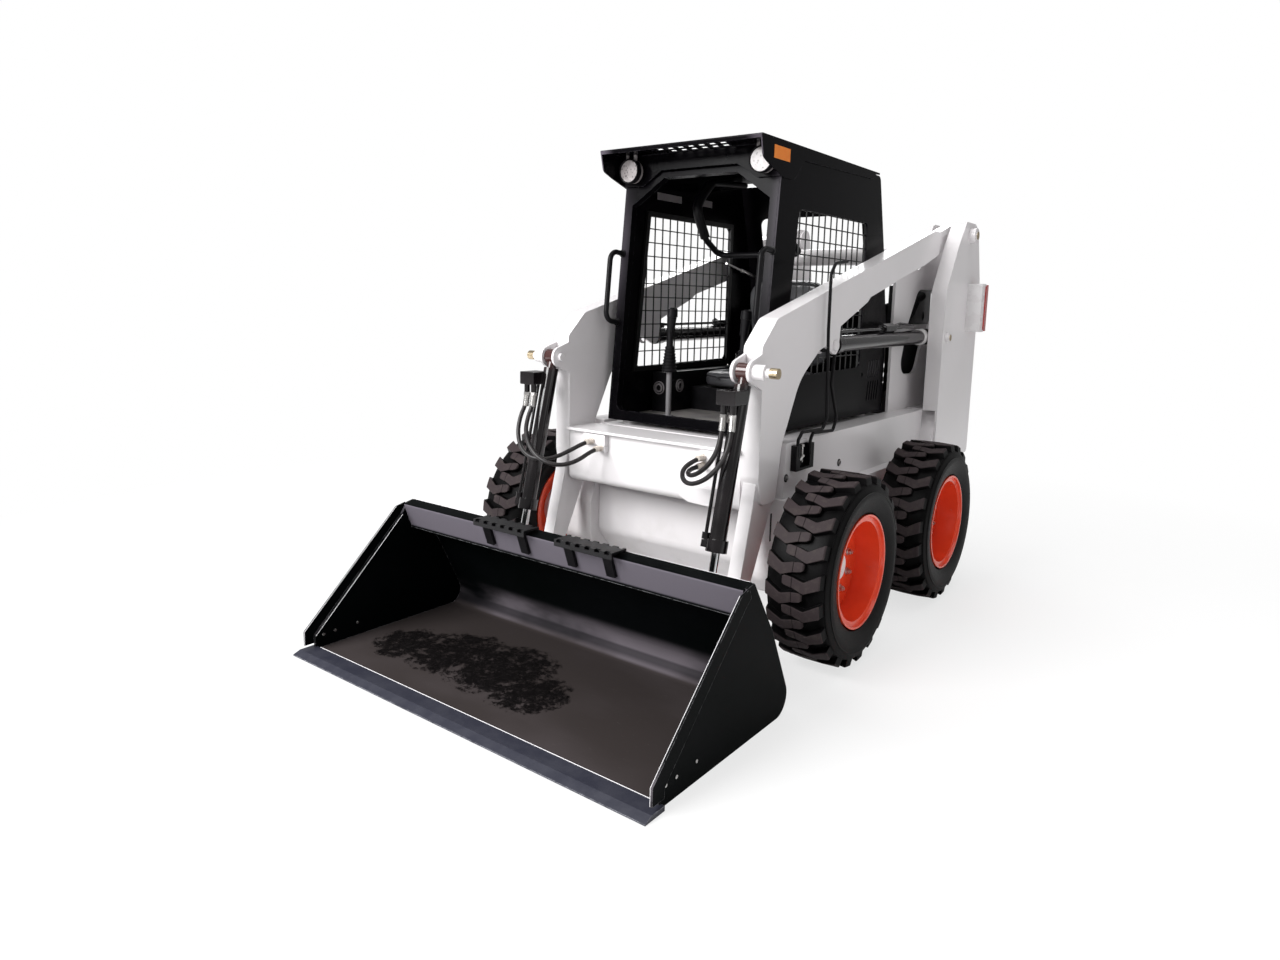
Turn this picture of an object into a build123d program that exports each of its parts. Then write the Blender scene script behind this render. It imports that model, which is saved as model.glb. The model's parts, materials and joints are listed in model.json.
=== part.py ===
from build123d import *
import math
import os

# Skid steer loader with a radial lift arm and a digging bucket, lowered to the floor.
# Millimetres, +Z up. The front faces -Y and the driver's left is +X.
# Every length along Y in the tables is counted from the front axle.

# Whole machine
WHEELBASE = 1040
LIP_Y = -1393
REAR_Y = 2195
FRONT_AXLE_Y = -(LIP_Y + REAR_Y) / 2
SIDE_NAMES = (("left", 1), ("right", -1))
AXLES = (("front", 0), ("rear", WHEELBASE))

# Clearances
RUNNING = 0.05
SEAT = 0.3
SLIDE_GAP = 0.3

# Wheels
TYRE_R = 386
TYRE_WIDTH = 264
TRACK_HALF = 778
RIM_R = 208
RIM_FLANGE_R = 228
RIM_WALL = 7
DISC_X = 742
DISC_WALL = 12
HUB_R = 78
HUB_FACE_R = 105
SPINDLE_R = 45
TREAD_HALF = 124
TREAD_R = 361
LUG_COUNT = 21
LUG_HALF = 25
LUG_LEAN = math.radians(16)
LUG_TOP = 382.85

# Hull
HULL_HALF = 430
HULL_FRONT_Y = -50
HULL_TOP = 850
HULL_BOTTOM = 200
BAY_FRONT_Y = 1330
BAY_WALL = 12
BAY_FLOOR = 300
BODY_REAR_Y = 2150
BOX_HALF = 545
BOX_FLOOR = 630
BOX_TOP = 862
BOX_REAR_Y = 1590
CHAIN_HALF = 600

# Rear columns that carry the arms
INNER_X = 425
INNER_PLATE = 15
OUTER_X = 618
OUTER_PLATE = 12
PIVOT_Y, PIVOT_Z = 1950, 1840
PIVOT_R = 24
BASE_Y, BASE_Z = 1650, 1268
PIN_R = 18
COLUMN_BOSS_R = 42

# Rear door, engine cover and engine
DOOR_HALF = 420
DOOR_BOTTOM, DOOR_TOP = 330, 1270
DOOR_WALL = 22
COVER_BASE = 1282
COVER_TOP = 1332
ENGINE_HALF = 230

# Lift arms
ARM_IN, ARM_OUT = 458, 541
EAR_PLATE = 12
TILT_Y, TILT_Z = -305, 1170
EAR_R = 45
LIFT_Y, LIFT_Z = 402, 1252
LUG_R = 40
TOE_HALF = 29.5
HITCH_Y, HITCH_Z = -425, 140
HITCH_R = 36
HITCH_PIN_R = 20
CYLINDER_X = 500

# Cylinders
LIFT_BORE_R, LIFT_ROD_R = 39, 22
TILT_BORE_R, TILT_ROD_R = 33, 17
EYE_WIDTH = 47
LIFT_RETRACT = 60
TILT_NECK = 58
TILT_GLAND = 648

# Bucket
BUCKET_HALF = 863
EDGE_HALF = 878
BUCKET_PLATE = 8
SIDE_PLATE = 10
EDGE_WALL = 16
EDGE_REAR_Y = -1300
ROD_Y, ROD_Z = -530, 235
COUPLER_EAR = 15
COUPLER_EAR_R = 46

# Cab
CAB_HALF = 413
ROOF_WALL = 6
PANEL_WALL = 8
CAB_FLOOR = 870
FLOOR_WALL = 12
FRONT_FOOT_Y, FRONT_HEAD_Y, FRONT_HEAD_Z = -20, 91, 2020
FRAME_DEPTH = 38
LAMP_X, LAMP_Y, LAMP_Z, LAMP_R = 343, 20, 2013, 52
MESH_PITCH_Y, MESH_PITCH_Z = 63, 66
WIRE = 5
HANDLE_R = 12

# Hoses
HOSE_R = 9.5
FITTING_R = 12.5

SIDE = Plane(origin=(0, FRONT_AXLE_Y, 0), x_dir=(0, 1, 0), z_dir=(1, 0, 0))
FRONT = Plane(origin=(0, FRONT_AXLE_Y, 0), x_dir=(1, 0, 0), z_dir=(0, -1, 0))
TOP = Plane(origin=(0, FRONT_AXLE_Y, 0))


def slab(plane, corners, low, high, mode=Mode.ADD):
    """Make an outline of (u, v, corner radius) rows solid between two offsets of a plane."""
    with BuildSketch(plane.offset(low)) as profile:
        with BuildLine():
            FilletPolyline([(u, v) for u, v, _ in corners], radius=[r for _, _, r in corners], close=True)
        make_face()
    extrude(profile.sketch, amount=high - low, mode=mode)


def block(plane, low_corner, high_corner, low, high, mode=Mode.ADD, radius=0):
    """Make a rectangle between two corners solid, with one radius at all its corners."""
    (u0, v0), (u1, v1) = low_corner, high_corner
    slab(plane, [(u0, v0, radius), (u1, v0, radius), (u1, v1, radius), (u0, v1, radius)], low, high, mode)


def disc(plane, centre, radius, low, high, mode=Mode.ADD):
    """Make a round plate, pin or hole between two offsets of a plane."""
    with BuildSketch(plane.offset(low)) as profile:
        with Locations(centre):
            Circle(radius)
    extrude(profile.sketch, amount=high - low, mode=mode)


def lug(plane, rounds, low, high, mode=Mode.ADD):
    """Make the plate that wraps a few (u, v, radius) circles."""
    with BuildSketch(plane.offset(low)) as profile:
        for u, v, radius in rounds:
            with Locations((u, v)):
                Circle(radius)
        make_hull()
    extrude(profile.sketch, amount=high - low, mode=mode)


def tube(points, radii, radius):
    """Sweep a round bar along straight runs joined by arcs, points counted from the front axle."""
    with BuildLine() as path:
        FilletPolyline([(x, y + FRONT_AXLE_Y, z) for x, y, z in points], radius=radii)
    with BuildSketch(path.line ^ 0) as section:
        Circle(radius)
    sweep(section.sketch, path=path.line)


def inset(corners, wall):
    """Move every side of a counter-clockwise outline inwards by one wall."""
    rows = []
    for index, (u, v, radius) in enumerate(corners):
        before = Vector(u, v) - Vector(*corners[index - 1][:2])
        after = Vector(*corners[(index + 1) % len(corners)][:2]) - Vector(u, v)
        first = Vector(-before.Y, before.X).normalized()
        second = Vector(-after.Y, after.X).normalized()
        shift = (first + second) * (wall / (1 + first.dot(second)))
        rows.append((u + shift.X, v + shift.Y, max(radius - wall, 0)))
    return rows


def save(piece, name):
    piece.part.label = name
    export_step(piece.part, f"parts/{name}.step")


os.makedirs("parts", exist_ok=True)

# Hull: a welded tub with an open engine bay behind the cab
HULL_OUTLINE = [  # y, z, corner radius
    (HULL_FRONT_Y, HULL_TOP, 0), (HULL_FRONT_Y, 330, 60), (60, HULL_BOTTOM, 60),
    (BODY_REAR_Y - 150, HULL_BOTTOM, 60), (BODY_REAR_Y, 330, 30), (BODY_REAR_Y, HULL_TOP, 0),
]
TIE_DOWN = dict(x=330, y=BODY_REAR_Y + 2, z=262, radius=34, bore=20, wall=20)
CAB_MOUNTS = dict(x=330, rows=(60, 1200), radius=38)
with BuildPart() as hull:
    slab(SIDE, HULL_OUTLINE, -HULL_HALF, HULL_HALF)
    block(SIDE, (BAY_FRONT_Y, BAY_FLOOR), (BODY_REAR_Y + 1, HULL_TOP + 1),
          -HULL_HALF + BAY_WALL, HULL_HALF - BAY_WALL, Mode.SUBTRACT)
    for sign in (1, -1):
        x = sign * TIE_DOWN["x"] - TIE_DOWN["wall"] / 2
        lug(SIDE, [(TIE_DOWN["y"], TIE_DOWN["z"], TIE_DOWN["radius"]), (BODY_REAR_Y - 90, TIE_DOWN["z"] + 10, 20)],
            x, x + TIE_DOWN["wall"])
        disc(SIDE, (TIE_DOWN["y"], TIE_DOWN["z"]), TIE_DOWN["bore"], x - 1, x + TIE_DOWN["wall"] + 1, Mode.SUBTRACT)
        for y in CAB_MOUNTS["rows"]:
            disc(TOP, (sign * CAB_MOUNTS["x"], y), CAB_MOUNTS["radius"], HULL_TOP, CAB_FLOOR - SEAT)
save(hull, "hull")

# Side boxes over the chain cases, with the fender behind each rear wheel
BOX_OUTLINE = [  # y, z, corner radius
    (-40, BOX_FLOOR, 0), (BOX_REAR_Y, BOX_FLOOR, 0), (BOX_REAR_Y, BOX_TOP, 0), (-22, BOX_TOP, 0),
]
FENDER_OUTLINE = [  # y, z, corner radius
    (1470, 560, 0), (BODY_REAR_Y, 560, 0), (BODY_REAR_Y, BOX_TOP, 0), (1650, BOX_TOP, 0),
]
with BuildPart() as side_boxes:
    slab(SIDE, BOX_OUTLINE, HULL_HALF, BOX_HALF)
    slab(SIDE, FENDER_OUTLINE, HULL_HALF, OUTER_X)
    mirror(about=Plane.YZ)
save(side_boxes, "side_boxes")

# Chain cases with a fixed spindle for each wheel
CHAIN_OUTLINE = [  # y, z, corner radius
    (-60, BOX_FLOOR, 0), (-110, 470, 40), (-110, 300, 70), (-40, 215, 60),
    (WHEELBASE + 40, 215, 60), (WHEELBASE + 110, 300, 70), (WHEELBASE + 110, 470, 40), (WHEELBASE + 60, BOX_FLOOR, 0),
]
with BuildPart() as chain_cases:
    slab(SIDE, CHAIN_OUTLINE, HULL_HALF, CHAIN_HALF)
    for _, axle_y in AXLES:
        disc(SIDE, (axle_y, TYRE_R), HUB_R, CHAIN_HALF, DISC_X - SLIDE_GAP)
        disc(SIDE, (axle_y, TYRE_R), HUB_FACE_R, DISC_X - 22, DISC_X - SLIDE_GAP)
        disc(SIDE, (axle_y, TYRE_R), SPINDLE_R - RUNNING, DISC_X - SLIDE_GAP, DISC_X + DISC_WALL + 22)
    mirror(about=Plane.YZ)
save(chain_cases, "chain_cases")

# Wheels: pneumatic tyre with two rows of leaning lugs on a tread band of flats, on a deep dished rim
TYRE_HALF_SECTION = [  # distance from the middle of the tyre, radius
    (0, 330), (TREAD_HALF, 330), (TYRE_WIDTH / 2, 298), (112, RIM_FLANGE_R + 5), (97.7, RIM_FLANGE_R + 5),
    (97.7, RIM_R + SEAT), (0, RIM_R + SEAT),
]
LUG_PROFILE = [  # distance from the middle of the tyre, radius
    (-16, 345), (108, 333), (130, 333), (130, 342), (104, LUG_TOP), (-16, LUG_TOP),
]
RIM_BARREL = [  # distance from the middle of the tyre, radius
    (-112, RIM_FLANGE_R), (-98, RIM_FLANGE_R), (-98, RIM_R), (98, RIM_R), (98, RIM_FLANGE_R), (118, RIM_FLANGE_R + 2),
    (118, RIM_FLANGE_R - 6), (106, RIM_FLANGE_R - 9), (106, RIM_R - RIM_WALL), (-106, RIM_R - RIM_WALL),
    (-106, RIM_FLANGE_R - 7), (-112, RIM_FLANGE_R - 7),
]
for side, sign in SIDE_NAMES:
    for axle, axle_y in AXLES:
        wheel_plane = Plane(origin=(TRACK_HALF, axle_y + FRONT_AXLE_Y, TYRE_R), x_dir=(1, 0, 0), z_dir=(0, -1, 0))
        wheel_axis = Axis((TRACK_HALF, axle_y + FRONT_AXLE_Y, TYRE_R), (1, 0, 0))
        lug_planes = []
        for flip, shift in ((1, 0), (-1, 0.5)):
            for index in range(LUG_COUNT):
                turn = 2 * math.pi * (index + shift) / LUG_COUNT
                outward = Vector(0, math.sin(turn), math.cos(turn))
                onward = Vector(0, math.cos(turn), -math.sin(turn))
                across = Vector(flip, 0, 0) * math.cos(LUG_LEAN) + onward * math.sin(LUG_LEAN)
                lug_planes.append(Plane(origin=wheel_plane.origin, x_dir=across, z_dir=across.cross(outward)))
        with BuildPart() as tyre:
            with BuildSketch(wheel_plane) as section:
                with BuildLine():
                    Polyline(TYRE_HALF_SECTION, close=True)
                make_face()
                mirror(about=Plane.YZ)
            revolve(section.sketch, axis=wheel_axis)
            with BuildSketch(SIDE.offset(TRACK_HALF - TREAD_HALF)) as band:
                with Locations((axle_y, TYRE_R)):
                    RegularPolygon(TREAD_R, 2 * LUG_COUNT)
                    Circle(RIM_FLANGE_R + 60, mode=Mode.SUBTRACT)
            extrude(band.sketch, amount=2 * TREAD_HALF)
            with BuildSketch(*lug_planes) as lugs:
                with BuildLine():
                    Polyline(LUG_PROFILE, close=True)
                make_face()
            extrude(lugs.sketch, amount=LUG_HALF, both=True)
            if sign < 0:
                mirror(about=Plane.YZ, mode=Mode.REPLACE)
        save(tyre, f"tyre_{axle}_{side}")

        with BuildPart() as rim:
            with BuildSketch(wheel_plane) as section:
                with BuildLine():
                    Polyline(RIM_BARREL, close=True)
                make_face()
            revolve(section.sketch, axis=wheel_axis)
            disc(SIDE, (axle_y, TYRE_R), RIM_R - RIM_WALL / 2, DISC_X, DISC_X + DISC_WALL)
            disc(SIDE, (axle_y, TYRE_R), HUB_R, DISC_X + DISC_WALL, DISC_X + DISC_WALL + 18)
            disc(SIDE, (axle_y, TYRE_R), SPINDLE_R, DISC_X - 1, DISC_X + DISC_WALL + 19, Mode.SUBTRACT)
            if sign < 0:
                mirror(about=Plane.YZ, mode=Mode.REPLACE)
        save(rim, f"rim_{axle}_{side}")

# Rear columns: an inner plate with a long opening, an outer plate, and the pins that carry arm and cylinder
INNER_OUTLINE = [  # y, z, corner radius
    (1345, BOX_TOP, 0), (BODY_REAR_Y, BOX_TOP, 0), (BODY_REAR_Y, 1290, 0), (2080, 1700, 60), (2035, 1905, 50),
    (1865, 1905, 50), (1810, 1740, 60), (1700, 1640, 60), (1375, 1635, 20), (1345, 1600, 20),
]
INNER_OPENING = [  # y, z, corner radius
    (1470, 1060, 70), (1720, 1053, 90), (1790, 1200, 120), (2000, 1400, 60), (1960, 1531, 55), (1700, 1531, 90),
    (1560, 1330, 120),
]
OUTER_OUTLINE = [  # y, z, corner radius
    (1590, 560, 0), (REAR_Y, 560, 30), (REAR_Y, 1589, 150), (2096, 1880, 50), (2030, 1912, 30), (1868, 1912, 20),
    (1750, 1764, 60), (1597, 1516, 150), (1590, 1320, 300),
]
REAR_WEB = [  # y, z, corner radius
    (BODY_REAR_Y - 12, BOX_TOP, 0), (BODY_REAR_Y, BOX_TOP, 0), (BODY_REAR_Y, 1303, 0), (BODY_REAR_Y - 65, 1690, 0),
    (BODY_REAR_Y - 77, 1690, 0), (BODY_REAR_Y - 12, 1303, 0),
]
FRONT_FLANGE = [  # y, z, corner radius
    (1602, BOX_TOP, 0), (1602, 1320, 300), (1608, 1512, 140), (1760, 1756, 60), (1868, 1896, 0), (1858, 1900, 0),
    (1750, 1764, 60), (1597, 1516, 150), (1590, 1320, 300), (1590, BOX_TOP, 0),
]
RETURN_PLATE = [  # y, z, corner radius
    (1598, BOX_TOP, 0), (1780, BOX_TOP, 0), (1780, 1750, 0), (1752, 1750, 0), (1604, 1514, 0), (1598, 1320, 0),
]
RETURN_X = 548
COLUMN_PINS = [  # y, z, pin radius, pin's inner end, boss radius, boss height
    (PIVOT_Y, PIVOT_Z, PIVOT_R, INNER_X, COLUMN_BOSS_R, 36),
    (BASE_Y, BASE_Z, PIN_R, CYLINDER_X - EYE_WIDTH / 2 - 12, 28, 18),
]
with BuildPart() as columns:
    slab(SIDE, INNER_OUTLINE, INNER_X, INNER_X + INNER_PLATE)
    slab(SIDE, INNER_OPENING, INNER_X - 1, INNER_X + INNER_PLATE + 1, Mode.SUBTRACT)
    slab(SIDE, OUTER_OUTLINE, OUTER_X, OUTER_X + OUTER_PLATE)
    slab(SIDE, REAR_WEB, INNER_X + INNER_PLATE, OUTER_X)
    slab(SIDE, FRONT_FLANGE, RETURN_X, OUTER_X)
    slab(SIDE, RETURN_PLATE, RETURN_X, RETURN_X + 10)
    disc(SIDE, (BASE_Y, BASE_Z), 36, RETURN_X, OUTER_X)
    for pin_y, pin_z, pin_radius, pin_start, boss_radius, boss_height in COLUMN_PINS:
        disc(SIDE, (pin_y, pin_z), pin_radius - RUNNING, pin_start, OUTER_X + OUTER_PLATE + boss_height + 4)
        disc(SIDE, (pin_y, pin_z), boss_radius, OUTER_X + OUTER_PLATE, OUTER_X + OUTER_PLATE + boss_height)
    disc(SIDE, (PIVOT_Y, PIVOT_Z), COLUMN_BOSS_R + 14, INNER_X - 14, INNER_X)
    mirror(about=Plane.YZ)
save(columns, "columns")

# Engine as one heavy block, and the louvred cover over it
with BuildPart() as engine_block:
    block(SIDE, (BAY_FRONT_Y + 90, BAY_FLOOR), (BODY_REAR_Y - 170, 960), -ENGINE_HALF, ENGINE_HALF)
save(engine_block, "engine_block")

COVER_OUTLINE = [  # y, z, corner radius
    (1348, COVER_BASE, 0), (BODY_REAR_Y + 28, COVER_BASE, 0), (BODY_REAR_Y + 28, COVER_TOP - 30, 12),
    (BODY_REAR_Y - 30, COVER_TOP, 40), (1348, COVER_TOP, 0),
]
COVER_SLOTS = dict(first=1480, pitch=46, count=10, width=20, half=260)
with BuildPart() as engine_cover:
    slab(SIDE, COVER_OUTLINE, -INNER_X + SEAT, INNER_X - SEAT)
    slab(SIDE, [(1356, COVER_BASE - 1, 0), (BODY_REAR_Y + 20, COVER_BASE - 1, 0), (BODY_REAR_Y + 20, COVER_TOP - 34, 8),
                (BODY_REAR_Y - 34, COVER_TOP - 8, 34), (1356, COVER_TOP - 8, 0)], -INNER_X + 8, INNER_X - 8, Mode.SUBTRACT)
    for index in range(COVER_SLOTS["count"]):
        y = COVER_SLOTS["first"] + index * COVER_SLOTS["pitch"]
        block(TOP, (-COVER_SLOTS["half"], y), (COVER_SLOTS["half"], y + COVER_SLOTS["width"]),
              COVER_TOP - 20, COVER_TOP + 1, Mode.SUBTRACT)
save(engine_cover, "engine_cover")

# Rear door with louvres, hinged on the machine's right
DOOR_FRONT_Y = BODY_REAR_Y + SEAT
DOOR_REAR_Y = DOOR_FRONT_Y + DOOR_WALL
HINGE = dict(x=-422, radius=8, height=90, rows=(420, 755, 1090))
LOUVRE = dict(first=520, pitch=58, count=10, height=26, half=250)
with BuildPart() as rear_door:
    block(FRONT, (-DOOR_HALF, DOOR_BOTTOM), (DOOR_HALF, DOOR_TOP), -DOOR_REAR_Y, -DOOR_FRONT_Y, radius=24)
    block(FRONT, (-DOOR_HALF + 40, DOOR_BOTTOM + 40), (DOOR_HALF - 40, DOOR_TOP - 40),
          -DOOR_REAR_Y + 8, -DOOR_FRONT_Y + 1, Mode.SUBTRACT, radius=12)
    for index in range(LOUVRE["count"]):
        z = LOUVRE["first"] + index * LOUVRE["pitch"]
        block(FRONT, (-LOUVRE["half"], z), (LOUVRE["half"], z + LOUVRE["height"]),
              -DOOR_REAR_Y - 1, -DOOR_FRONT_Y, Mode.SUBTRACT)
    for z in HINGE["rows"]:
        disc(TOP, (HINGE["x"], DOOR_REAR_Y), HINGE["radius"], z, z + HINGE["height"])
save(rear_door, "rear_door")

# Tail lamps on the outer column plates
LAMP_BOX = dict(y0=1972, y1=2052, z0=1297, z1=1572, depth=82)
with BuildPart() as tail_lamps:
    block(SIDE, (LAMP_BOX["y0"], LAMP_BOX["z0"]), (LAMP_BOX["y1"], LAMP_BOX["z1"]),
          OUTER_X + OUTER_PLATE, OUTER_X + OUTER_PLATE + LAMP_BOX["depth"], radius=14)
    mirror(about=Plane.YZ)
save(tail_lamps, "tail_lamps")

# Lift arms: one box section a side, from the rear pivot over the wheels and down to the bucket hitch
ARM_OUTLINE = [  # y, z, corner radius
    (-93, 631, 30), (-58, 859, 200), (77, 1118, 260), (251, 1237, 90), (345, 1262, 0), (396, 1316, 0), (739, 1448, 0),
    (772, 1472, 0), (1481, 1655, 0), (1700, 1722, 30), (1700, 1844, 20), (1615, 1844, 30), (-139, 1370, 60),
    (-250, 1264, 30), (-250, 1222, 30), (-240, 1180, 200), (-237, 742, 60), (-215, 631, 40),
]
TOE_OUTLINE = [  # y, z, corner radius
    (-90, 720, 0), (-93, 631, 40), (-232, 348, 120), (-330, 190, 80), (-400, 112, 0), (-445, 170, 0), (-330, 340, 120),
    (-252, 640, 150), (-236, 720, 0),
]
with BuildPart() as arms:
    slab(SIDE, ARM_OUTLINE, ARM_IN, ARM_OUT)
    slab(SIDE, TOE_OUTLINE, CYLINDER_X - TOE_HALF, CYLINDER_X + TOE_HALF)
    disc(SIDE, (HITCH_Y, HITCH_Z), HITCH_R, CYLINDER_X - TOE_HALF, CYLINDER_X + TOE_HALF)
    disc(SIDE, (HITCH_Y, HITCH_Z), HITCH_PIN_R - RUNNING, CYLINDER_X - 62, CYLINDER_X + 62)
    lug(SIDE, [(PIVOT_Y, PIVOT_Z, 65), (1670, 1775, 55)], CYLINDER_X - TOE_HALF, CYLINDER_X + TOE_HALF)
    for low in (ARM_IN, ARM_OUT - EAR_PLATE):
        lug(SIDE, [(TILT_Y, TILT_Z, EAR_R), (-215, 1110, 20), (-215, 1225, 20)], low, low + EAR_PLATE)
        lug(SIDE, [(LIFT_Y, LIFT_Z, LUG_R), (300, 1275, 20), (440, 1350, 12)], low, low + EAR_PLATE)
    disc(SIDE, (TILT_Y, TILT_Z), PIN_R - RUNNING, ARM_IN - 16, ARM_OUT + 102)
    disc(SIDE, (TILT_Y, TILT_Z), 30, ARM_OUT, ARM_OUT + 52)
    disc(SIDE, (LIFT_Y, LIFT_Z), 24, ARM_OUT, ARM_OUT + 10)
    disc(SIDE, (PIVOT_Y, PIVOT_Z), PIVOT_R, CYLINDER_X - 60, CYLINDER_X + 60, Mode.SUBTRACT)
    mirror(about=Plane.YZ)
save(arms, "arms")

# Cross members between the arms, with the blocks that the bucket hoses screw into
CROSS_OUTLINE = [  # y, z, corner radius
    (-235, 600, 30), (-72, 600, 30), (-72, 850, 0), (-235, 850, 0),
]
TORQUE_Y, TORQUE_Z, TORQUE_R = 1630, 1712, 48
PORT_FACE_Y, HOSE_END_Y = -235, -262
PORT_BLOCKS = [((-352, 786), (-226, 834)), ((-272, 756), (-226, 786)), ((280, 756), (352, 836))]
WEDGE = [  # x, z, corner radius
    (205, 636, 10), (250, 617, 0), (366, 612, 0), (366, 684, 0), (205, 682, 6),
]
with BuildPart() as crossmembers:
    slab(SIDE, CROSS_OUTLINE, -ARM_IN, ARM_IN)
    block(SIDE, (-262, 838), (-72, 850), -ARM_IN, ARM_IN)
    for low_corner, high_corner in PORT_BLOCKS:
        block(FRONT, low_corner, high_corner, -PORT_FACE_Y, -HOSE_END_Y, radius=4)
    slab(FRONT, WEDGE, -PORT_FACE_Y, -PORT_FACE_Y + 60)
    disc(SIDE, (TORQUE_Y, TORQUE_Z), TORQUE_R, -ARM_IN, ARM_IN)
save(crossmembers, "crossmembers")


def along(start, end):
    """Give a cylinder's plane, from its pin towards its other pin, and the pins' distance."""
    run = Vector(0, end[0] - start[0], end[1] - start[1])
    origin = Vector(0, start[0] + FRONT_AXLE_Y, start[1])
    return Plane(origin=origin, x_dir=(1, 0, 0), z_dir=run.normalized()), run.length


# Lift cylinders
LIFT_LINE, LIFT_LENGTH = along((BASE_Y, BASE_Z), (LIFT_Y, LIFT_Z))
LIFT_BARREL_END = LIFT_LENGTH - LIFT_RETRACT
ROD_GAP = 0.08
for side, sign in SIDE_NAMES:
    with BuildPart() as lift_barrel:
        disc(LIFT_LINE, (CYLINDER_X, 0), LIFT_BORE_R, 30, LIFT_BARREL_END - 50)
        disc(LIFT_LINE, (CYLINDER_X, 0), LIFT_BORE_R + 6, LIFT_BARREL_END - 50, LIFT_BARREL_END)
        disc(SIDE, (BASE_Y, BASE_Z), 44, CYLINDER_X - EYE_WIDTH / 2, CYLINDER_X + EYE_WIDTH / 2)
        disc(SIDE, (BASE_Y, BASE_Z), PIN_R, CYLINDER_X - 60, CYLINDER_X + 60, Mode.SUBTRACT)
        disc(LIFT_LINE, (CYLINDER_X, 0), LIFT_ROD_R + ROD_GAP, 60, LIFT_BARREL_END + 1, Mode.SUBTRACT)
        if sign < 0:
            mirror(about=Plane.YZ, mode=Mode.REPLACE)
    save(lift_barrel, f"lift_barrel_{side}")

    with BuildPart() as lift_rod:
        disc(LIFT_LINE, (CYLINDER_X, 0), LIFT_ROD_R, 70, LIFT_LENGTH - 20)
        disc(SIDE, (LIFT_Y, LIFT_Z), 32, CYLINDER_X - EYE_WIDTH / 2, CYLINDER_X + EYE_WIDTH / 2)
        if sign < 0:
            mirror(about=Plane.YZ, mode=Mode.REPLACE)
    save(lift_rod, f"lift_rod_{side}")

# Bucket tilt cylinders, each with a port block, two hose fittings and a steel pipe to the gland
TILT_LINE, TILT_LENGTH = along((TILT_Y, TILT_Z), (ROD_Y, ROD_Z))
PORT_SIDES = {"left": -7, "right": -44.5}
FITTING_STEP = 20.5
FITTING_Y, FITTING_TOP, HOSE_TOP = -405, 1048, 1000
TOP_GAP = 12
PIPE = dict(x=46, out=16, radius=7)
for side, sign in SIDE_NAMES:
    centre = sign * CYLINDER_X
    port = centre + PORT_SIDES[side]
    with BuildPart() as tilt_barrel:
        disc(TILT_LINE, (centre, 0), EYE_WIDTH / 2 - 2, 0, TILT_NECK)
        disc(TILT_LINE, (centre, 0), TILT_BORE_R, TILT_NECK - 4, TILT_GLAND)
        disc(TILT_LINE, (centre, 0), TILT_BORE_R + 9, TILT_GLAND, TILT_GLAND + 48)
        disc(SIDE, (TILT_Y, TILT_Z), 34, centre - EYE_WIDTH / 2, centre + EYE_WIDTH / 2)
        disc(SIDE, (TILT_Y, TILT_Z), PIN_R, centre - 60, centre + 60, Mode.SUBTRACT)
        block(FRONT, (port - 42, FITTING_TOP), (port + 42, FITTING_TOP + 56), 335, 428, radius=4)
        for step in (-FITTING_STEP, FITTING_STEP):
            disc(TOP, (port + step, FITTING_Y), FITTING_R, HOSE_TOP + TOP_GAP, FITTING_TOP)
        disc(TILT_LINE, (centre - PIPE["x"], PIPE["out"]), PIPE["radius"], 90, TILT_GLAND + 24)
        disc(TILT_LINE, (centre - PIPE["x"], PIPE["out"]), 15, TILT_GLAND - 20, TILT_GLAND + 6)
        block(TILT_LINE, (centre - PIPE["x"] - 9, 4), (centre - 24, 28), TILT_GLAND + 8, TILT_GLAND + 36)
        disc(TILT_LINE, (centre, 0), TILT_ROD_R + ROD_GAP, 60, TILT_GLAND + 60, Mode.SUBTRACT)
    save(tilt_barrel, f"tilt_barrel_{side}")

    with BuildPart() as tilt_rod:
        disc(TILT_LINE, (centre, 0), TILT_ROD_R, 240, TILT_LENGTH - 18)
        disc(SIDE, (ROD_Y, ROD_Z), 27, centre - 26, centre + 26)
    save(tilt_rod, f"tilt_rod_{side}")

# Bucket: bent shell between side plates, a box beam along its top edge, and a bolted cutting edge
HEEL_Y, HEEL_R = -504, 70
BEND_Y, BEND_Z, BEND_R = -672, 336, 200
BUCKET_OUTLINE = [  # y, z, corner radius
    (EDGE_REAR_Y + SEAT, 0, 0), (HEEL_Y, 0, HEEL_R), (BEND_Y, BEND_Z, BEND_R), (-811, 541, 0), (-868, 529, 6), (-828, 420, 6),
    (-1300, 300, 0), (-1340, EDGE_WALL + SEAT, 0), (EDGE_REAR_Y + SEAT, EDGE_WALL + SEAT, 0),
]
BUCKET_HOLLOW = [  # y, z, corner radius
    (-2000, 0, 0), (HEEL_Y, 0, HEEL_R), (BEND_Y, BEND_Z, BEND_R), (-728, 419, 0), (-828, 428, 0), (-2000, 428, 0),
]
SIDE_OUTLINE = [  # y, z, corner radius
    (EDGE_REAR_Y + SEAT, 0, 0), (HEEL_Y, 0, HEEL_R), (BEND_Y, BEND_Z, BEND_R), (-811, 541, 6), (-850, 533, 6), (-879, 487, 10),
    (-1310, 64, 10), (-1310, EDGE_WALL + SEAT, 0), (EDGE_REAR_Y + SEAT, EDGE_WALL + SEAT, 0),
]
RIM_STRIP = [  # y, z, corner radius
    (-852, 533, 0), (-900, 522, 6), (-1350, 88, 10), (-1350, 30, 0), (-1292, 30, 0), (-1292, 62, 8), (-866, 480, 6),
    (-840, 500, 0),
]
INNER_HALF = BUCKET_HALF - SIDE_PLATE
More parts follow.
